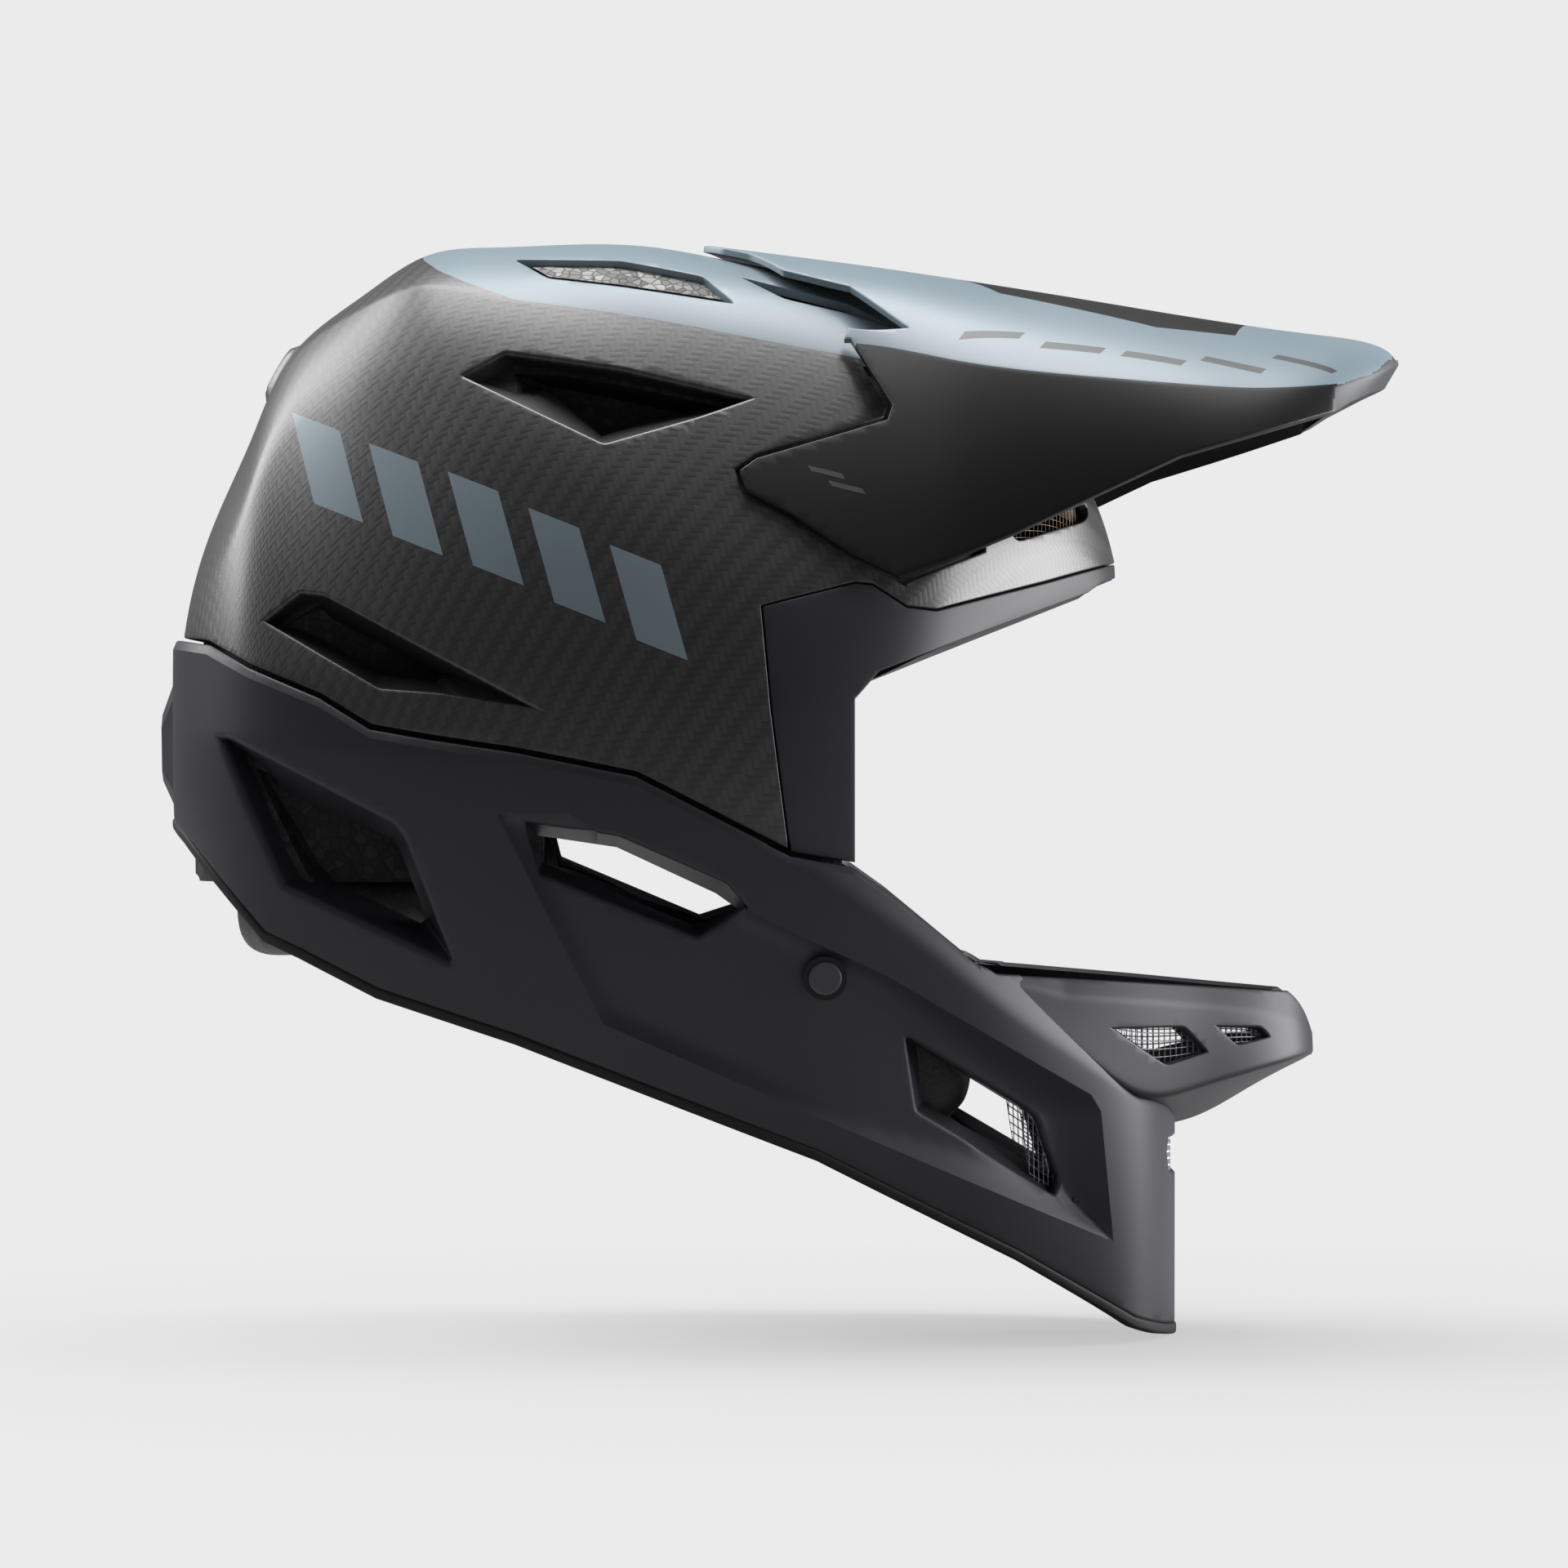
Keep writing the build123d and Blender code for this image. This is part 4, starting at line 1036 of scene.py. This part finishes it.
# Rubber edging under the rim
def edge_trim():
    """A soft lip, 2.5 mm high, that wraps the lower shell's bottom edge."""
    bm = surface(LOWER, lower_section, COLUMNS, LOWER_REAR, LOWER_FRONT)
    offset(bm, 0.5)
    trimmed(bm, [(x, z + 0.9) for x, z in RIM] + [(x, z + 2.4) for x, z in reversed(RIM)])
    bm.normal_update()
    add_wall(bm, TRIM_DEPTH, RIM_ROLL)
    both_sides(bm)
    piece("rim_edging", bm, [RUBBER], ["edge_trim"])


edge_trim()


# Fine grilles
def wire_mesh(name, table, section, inset, outline, node, columns, material):
    """A patch of woven wire that follows a form from inside."""
    bm = surface(table, section, columns)
    offset(bm, -inset)
    trimmed(bm, outline)
    both_sides(bm)
    wires = piece(name, bm, [material], [node]).modifiers.new("wires", "WIREFRAME")
    wires.thickness = 0.00055
    wires.use_even_offset = False


wire_mesh("chin_guard_grille", GUARD, guard_section, 3.6, CHIN_MESH, "chin_guard_mesh", 70, WIRE)
wire_mesh("chin_front_grille", LOWER, lower_section, 1.4, FRONT_MESH, "chin_front_mesh", 190, WIRE)
wire_mesh("mouth_grilles", LOWER, lower_section, 10.8, MOUTH_MESH, "mouth_vent_meshes", 190, WIRE)
wire_mesh("brow_grilles", DOME, dome_section, 3.6, BROW_MESH, "brow_vent_mesh", 170, BRONZE_WIRE)


# Padding
PUFF = 0.002        # the furthest that the cloth may swell, in metres
CLOTH = {
    "quality": 6, "mass": 0.2, "use_pressure": True, "uniform_pressure_force": 4, "tension_stiffness": 18,
    "compression_stiffness": 18, "bending_stiffness": 0.6, "vertex_group_mass": "held",
}


def settled(made):
    """Applies the modifiers of a piece to its mesh."""
    shown = made.evaluated_get(bpy.context.evaluated_depsgraph_get())
    mesh = bpy.data.meshes.new_from_object(shown)
    made.modifiers.clear()
    made.data = mesh


def cushion(name, node, material, channels, raised=None):
    """A stuffed pad: the node's block, inflated as cloth, with stitched channels drawn in across it.
    A channel is a point and a normal of its plane in millimetres, and applies all round the pad."""
    bm = bmesh.new()
    bm.from_mesh(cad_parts[node].data)
    bmesh.ops.remove_doubles(bm, verts=bm.verts, dist=1e-5)
    made = object_of(name, bm)
    even = made.modifiers.new("even", "REMESH")
    even.mode = "VOXEL"
    even.voxel_size = 0.0042
    settled(made)
    low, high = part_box(node)
    for v in made.data.vertices if raised else []:
        v.co.z += raised[2] * min(max((v.co.x - raised[0]) / (raised[1] - raised[0]), 0), 1)
    planes = [(Vector(point) * 0.001, Vector(normal).normalized()) for point, normal in channels]
    start = [v.co.copy() for v in made.data.vertices]
    held = made.vertex_groups.new(name="held")
    near = [v.index for v in made.data.vertices
            if any(abs((v.co - p).dot(n)) < 0.0032 for p, n in planes)]
    held.add(near, 0.9, "REPLACE")
    cloth = made.modifiers.new("cloth", "CLOTH")
    for key, value in CLOTH.items():
        setattr(cloth.settings, key, value)
    cloth.settings.effector_weights.gravity = 0
    cloth.collision_settings.use_collision = False
    cloth.point_cache.frame_start, cloth.point_cache.frame_end = 1, 20
    for moment in range(1, 21):
        scene.frame_set(moment)
    settled(made)
    scene.frame_set(1)
    for v, home in zip(made.data.vertices, start):
        way = v.co - home
        if way.length > PUFF:
            v.co = home + way * (PUFF / way.length)
    bm = bmesh.new()
    bm.from_mesh(made.data)
    for _ in range(3):
        bmesh.ops.smooth_vert(bm, verts=bm.verts, factor=0.5,
                              use_axis_x=True, use_axis_y=True, use_axis_z=True)
    bm.normal_update()
    for v in bm.verts:
        drawn = max([0.0] + [1 - abs((v.co - p).dot(n)) / 0.0065 for p, n in planes])
        v.co += v.normal * (0.0011 - 0.0032 * drawn ** 1.5)
        for axis in range(3):
            v.co[axis] = min(max(v.co[axis], low[axis] - 0.003), high[axis] + 0.003)
    for face in bm.faces:
        face.smooth = True
    bm.to_mesh(made.data)
    bm.free()
    made.data.materials.clear()
    made.data.materials.append(material)
    fine = made.modifiers.new("fine", "SUBSURF")
    fine.levels = fine.render_levels = 1
    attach(made, "shell")
    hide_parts(node)


for side, sign in (("left", 1), ("right", -1)):
    cushion("cheek_cushion_" + side, "cheek_pad_" + side, LEATHER,
            [((15, 70 * sign, -88), (1, 0, 0.25)), ((50, 70 * sign, -88), (1, 0, 0.1))])
cushion("brow_cushion", "brow_pad", GREY_FABRIC,
        [((60, 36, 39), (0.45, -0.9, 0)), ((60, -36, 39), (0.45, 0.9, 0)), ((70, 0, 39), (0, 1, 0))])
cushion("crown_cushion", "crown_pad", GREY_FABRIC,
        [((30, 0, 95), (1, 0, 0)), ((-8, 0, 100), (1, 0, 0)), ((-45, 0, 95), (1, 0, 0))])
cushion("neck_cushion", "neck_roll", LEATHER,
        [((-100, 45, -56), (0.35, 1, 0)), ((-100, -45, -56), (0.35, -1, 0)), ((-110, 0, -56), (0, 1, 0))],
        raised=(-0.105, -0.085, 0.0055))


# Chin strap
def webbing(name, route, nodes, ends=None):
    """A woven strap along a route across the helmet, y and z in millimetres."""
    points = [Vector(p) for p in route]
    for _ in range(4):
        cut = [points[0]]
        for p, q in zip(points, points[1:]):
            cut += [p.lerp(q, 0.25), p.lerp(q, 0.75)]
        points = cut + [points[-1]]
    along = [0.0]
    for p, q in zip(points, points[1:]):
        along.append(along[-1] + (q - p).length)
    count = int(along[-1] / 2)
    bm = bmesh.new()
    bmesh.ops.create_grid(bm, x_segments=count, y_segments=6, size=0.5)
    weave = bm.loops.layers.uv.new("weave")
    flat = {}
    for v in bm.verts:
        at, wide = (v.co.x + 0.5) * along[-1], v.co.y * STRAP_WIDE
        flat[v.index] = (at, wide)
        v.co = (STRAP_X + wide, *[np.interp(at, along, [p[k] for p in points]) for k in (0, 1)])
    for face in bm.faces:
        for loop in face.loops:
            loop[weave].uv = flat[loop.vert.index]
    bm.normal_update()
    offset(bm, STRAP_THICK / 2)
    add_wall(bm, STRAP_THICK, 0.25)
    bmesh.ops.scale(bm, vec=(0.001,) * 3, verts=bm.verts)
    for face in bm.faces:
        face.smooth = True
    for edge in bm.edges:
        edge.smooth = edge.calc_face_angle(0) < radians(40)
    made = object_of(name, bm, [WEBBING])
    if ends:
        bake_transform(made)
    else:
        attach(made, "shell")
    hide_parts(*nodes)


webbing("chin_strap_right", [(-103, -86), (-99, -106), (-88, -117), (-2.2, -117)], ["strap_right"])
webbing("chin_strap_left", [(103, -86), (100, -101), (90, -109.3), (34.4, -109.3)],
        ["strap_left", "strap_end"], ((0.053, 0.094, -0.1093), (0.053, 0.048, -0.1093)))


# Hard CAD parts, with their edges broken
def softened(name, node, material, width, body="shell"):
    """A copy of a CAD part's mesh with small bevels on its edges."""
    bm = bmesh.new()
    bm.from_mesh(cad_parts[node].data)
    bmesh.ops.remove_doubles(bm, verts=bm.verts, dist=1e-6)
    bmesh.ops.dissolve_limit(bm, angle_limit=radians(1), verts=bm.verts, edges=bm.edges)
    bm.normal_update()
    edges = [e for e in bm.edges if len(e.link_faces) == 2 and e.calc_face_angle(0) > radians(12)]
    bmesh.ops.bevel(bm, geom=edges, affect="EDGES", offset=width * 0.001, segments=3, profile=0.5,
                    material=-1, clamp_overlap=True)
    bmesh.ops.scale(bm, vec=(1000,) * 3, verts=bm.verts)
    piece(name, bm, [material], [node], body, sharp=30)


softened("rear_bump", "rear_centre_panel", BLACK, 1.2)
softened("buckle_seat", "buckle_base", BLACK_PLASTIC_AND_PAINTED_RECESS_SHADE, 0.5)
softened("buckle_cover", "buckle_slider", BLACK_PLASTIC_AND_PAINTED_RECESS_SHADE, 0.5, "buckle_tongue")
softened("pull_ribbon", "buckle_pull_tab", RUBBER, 0.3, "buckle_tongue")

# Finishes of the CAD parts that stay
for node, material in (
    ("eps_head_liner", FOAM), ("eps_cheek_left", FOAM), ("eps_cheek_right", FOAM), ("eps_chin_bar", FOAM),
    ("visor_pegs", SMOOTH_BLACK), ("pivot_bushes", RUBBER), ("strap_keeper", RUBBER),
    ("anchor_plates", STEEL), ("anchor_rivets", CAP_GREY), ("anchor_rings", RUBBER),
    ("cheek_pad_snaps", STEEL),
):
    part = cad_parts[node]
    if not part.material_slots:
        part.data.materials.append(material)
    for place in part.material_slots:
        place.link = "OBJECT"
        place.material = material

# Floor, backdrop and light
FLOOR = -0.1826
backing = colour("#ebebeb")


def studio_floor():
    """A pale floor that takes a soft shadow round the chin and fades into the plain background."""
    material, shader, node = finish_of("studio_floor")
    place = node("TexCoord").outputs["Object"]
    from_chin = node("VectorMath", place, (0.12, 0, FLOOR), settings={"operation": "SUBTRACT"})
    far = node("VectorMath", from_chin, settings={"operation": "LENGTH"}).outputs["Value"]
    fade = node("ValToRGB", far, stops=[(0.0, 0.6), (0.2, 0.82), (0.5, 1.0)])
    feed(shader, Base_Color=colour("#a8a8a8"), Roughness=0.9, Specular_IOR_Level=0.0)
    plain = node("Emission", Color=backing, Strength=1.0)
    seen = node("MULTIPLY", fade, node("LightPath").outputs["Is Camera Ray"])
    feed(material.node_tree.nodes["Material Output"], Surface=node("MixShader", seen, shader, plain))
    bm = bmesh.new()
    bmesh.ops.create_grid(bm, x_segments=1, y_segments=1, size=3.0)
    bmesh.ops.translate(bm, vec=(0, 0, FLOOR), verts=bm.verts)
    floor = object_of("floor", bm, [material])


studio_floor()

world = bpy.data.worlds.new("studio")
scene.world = world
world.use_nodes = True
tree = world.node_tree
ambient = tree.nodes["Background"]
feed(ambient, Color=colour("#ffffff"), Strength=0.15)
path = add(tree, "LightPath")
seen = add(tree, "MAXIMUM", path.outputs["Is Camera Ray"], path.outputs["Is Transmission Ray"])
choice = add(tree, "MixShader", seen, ambient, add(tree, "Background", Color=backing))
feed(tree.nodes["World Output"], Surface=choice)


def softbox(name, place, aim, wide, high, power):
    """A large soft lamp at a place, turned to a point."""
    lamp = bpy.data.lights.new(name, "AREA")
    lamp.shape = "RECTANGLE"
    lamp.size, lamp.size_y, lamp.energy = wide, high, power
    made = bpy.data.objects.new(name, lamp)
    made.location = place
    made.rotation_euler = (Vector(aim) - Vector(place)).to_track_quat("-Z", "Y").to_euler()
    scene.collection.objects.link(made)


softbox("top", (0.0, 0.34, 1.4), (0, 0, 0), 1.2, 0.7, 22)
softbox("rear_left", (-1.2, 0.44, 0.95), (-0.1, 0, 0.05), 1.1, 1.1, 25)
softbox("front_right", (1.4, 0.17, 0.18), (0.1, 0, -0.05), 0.9, 0.9, 27)
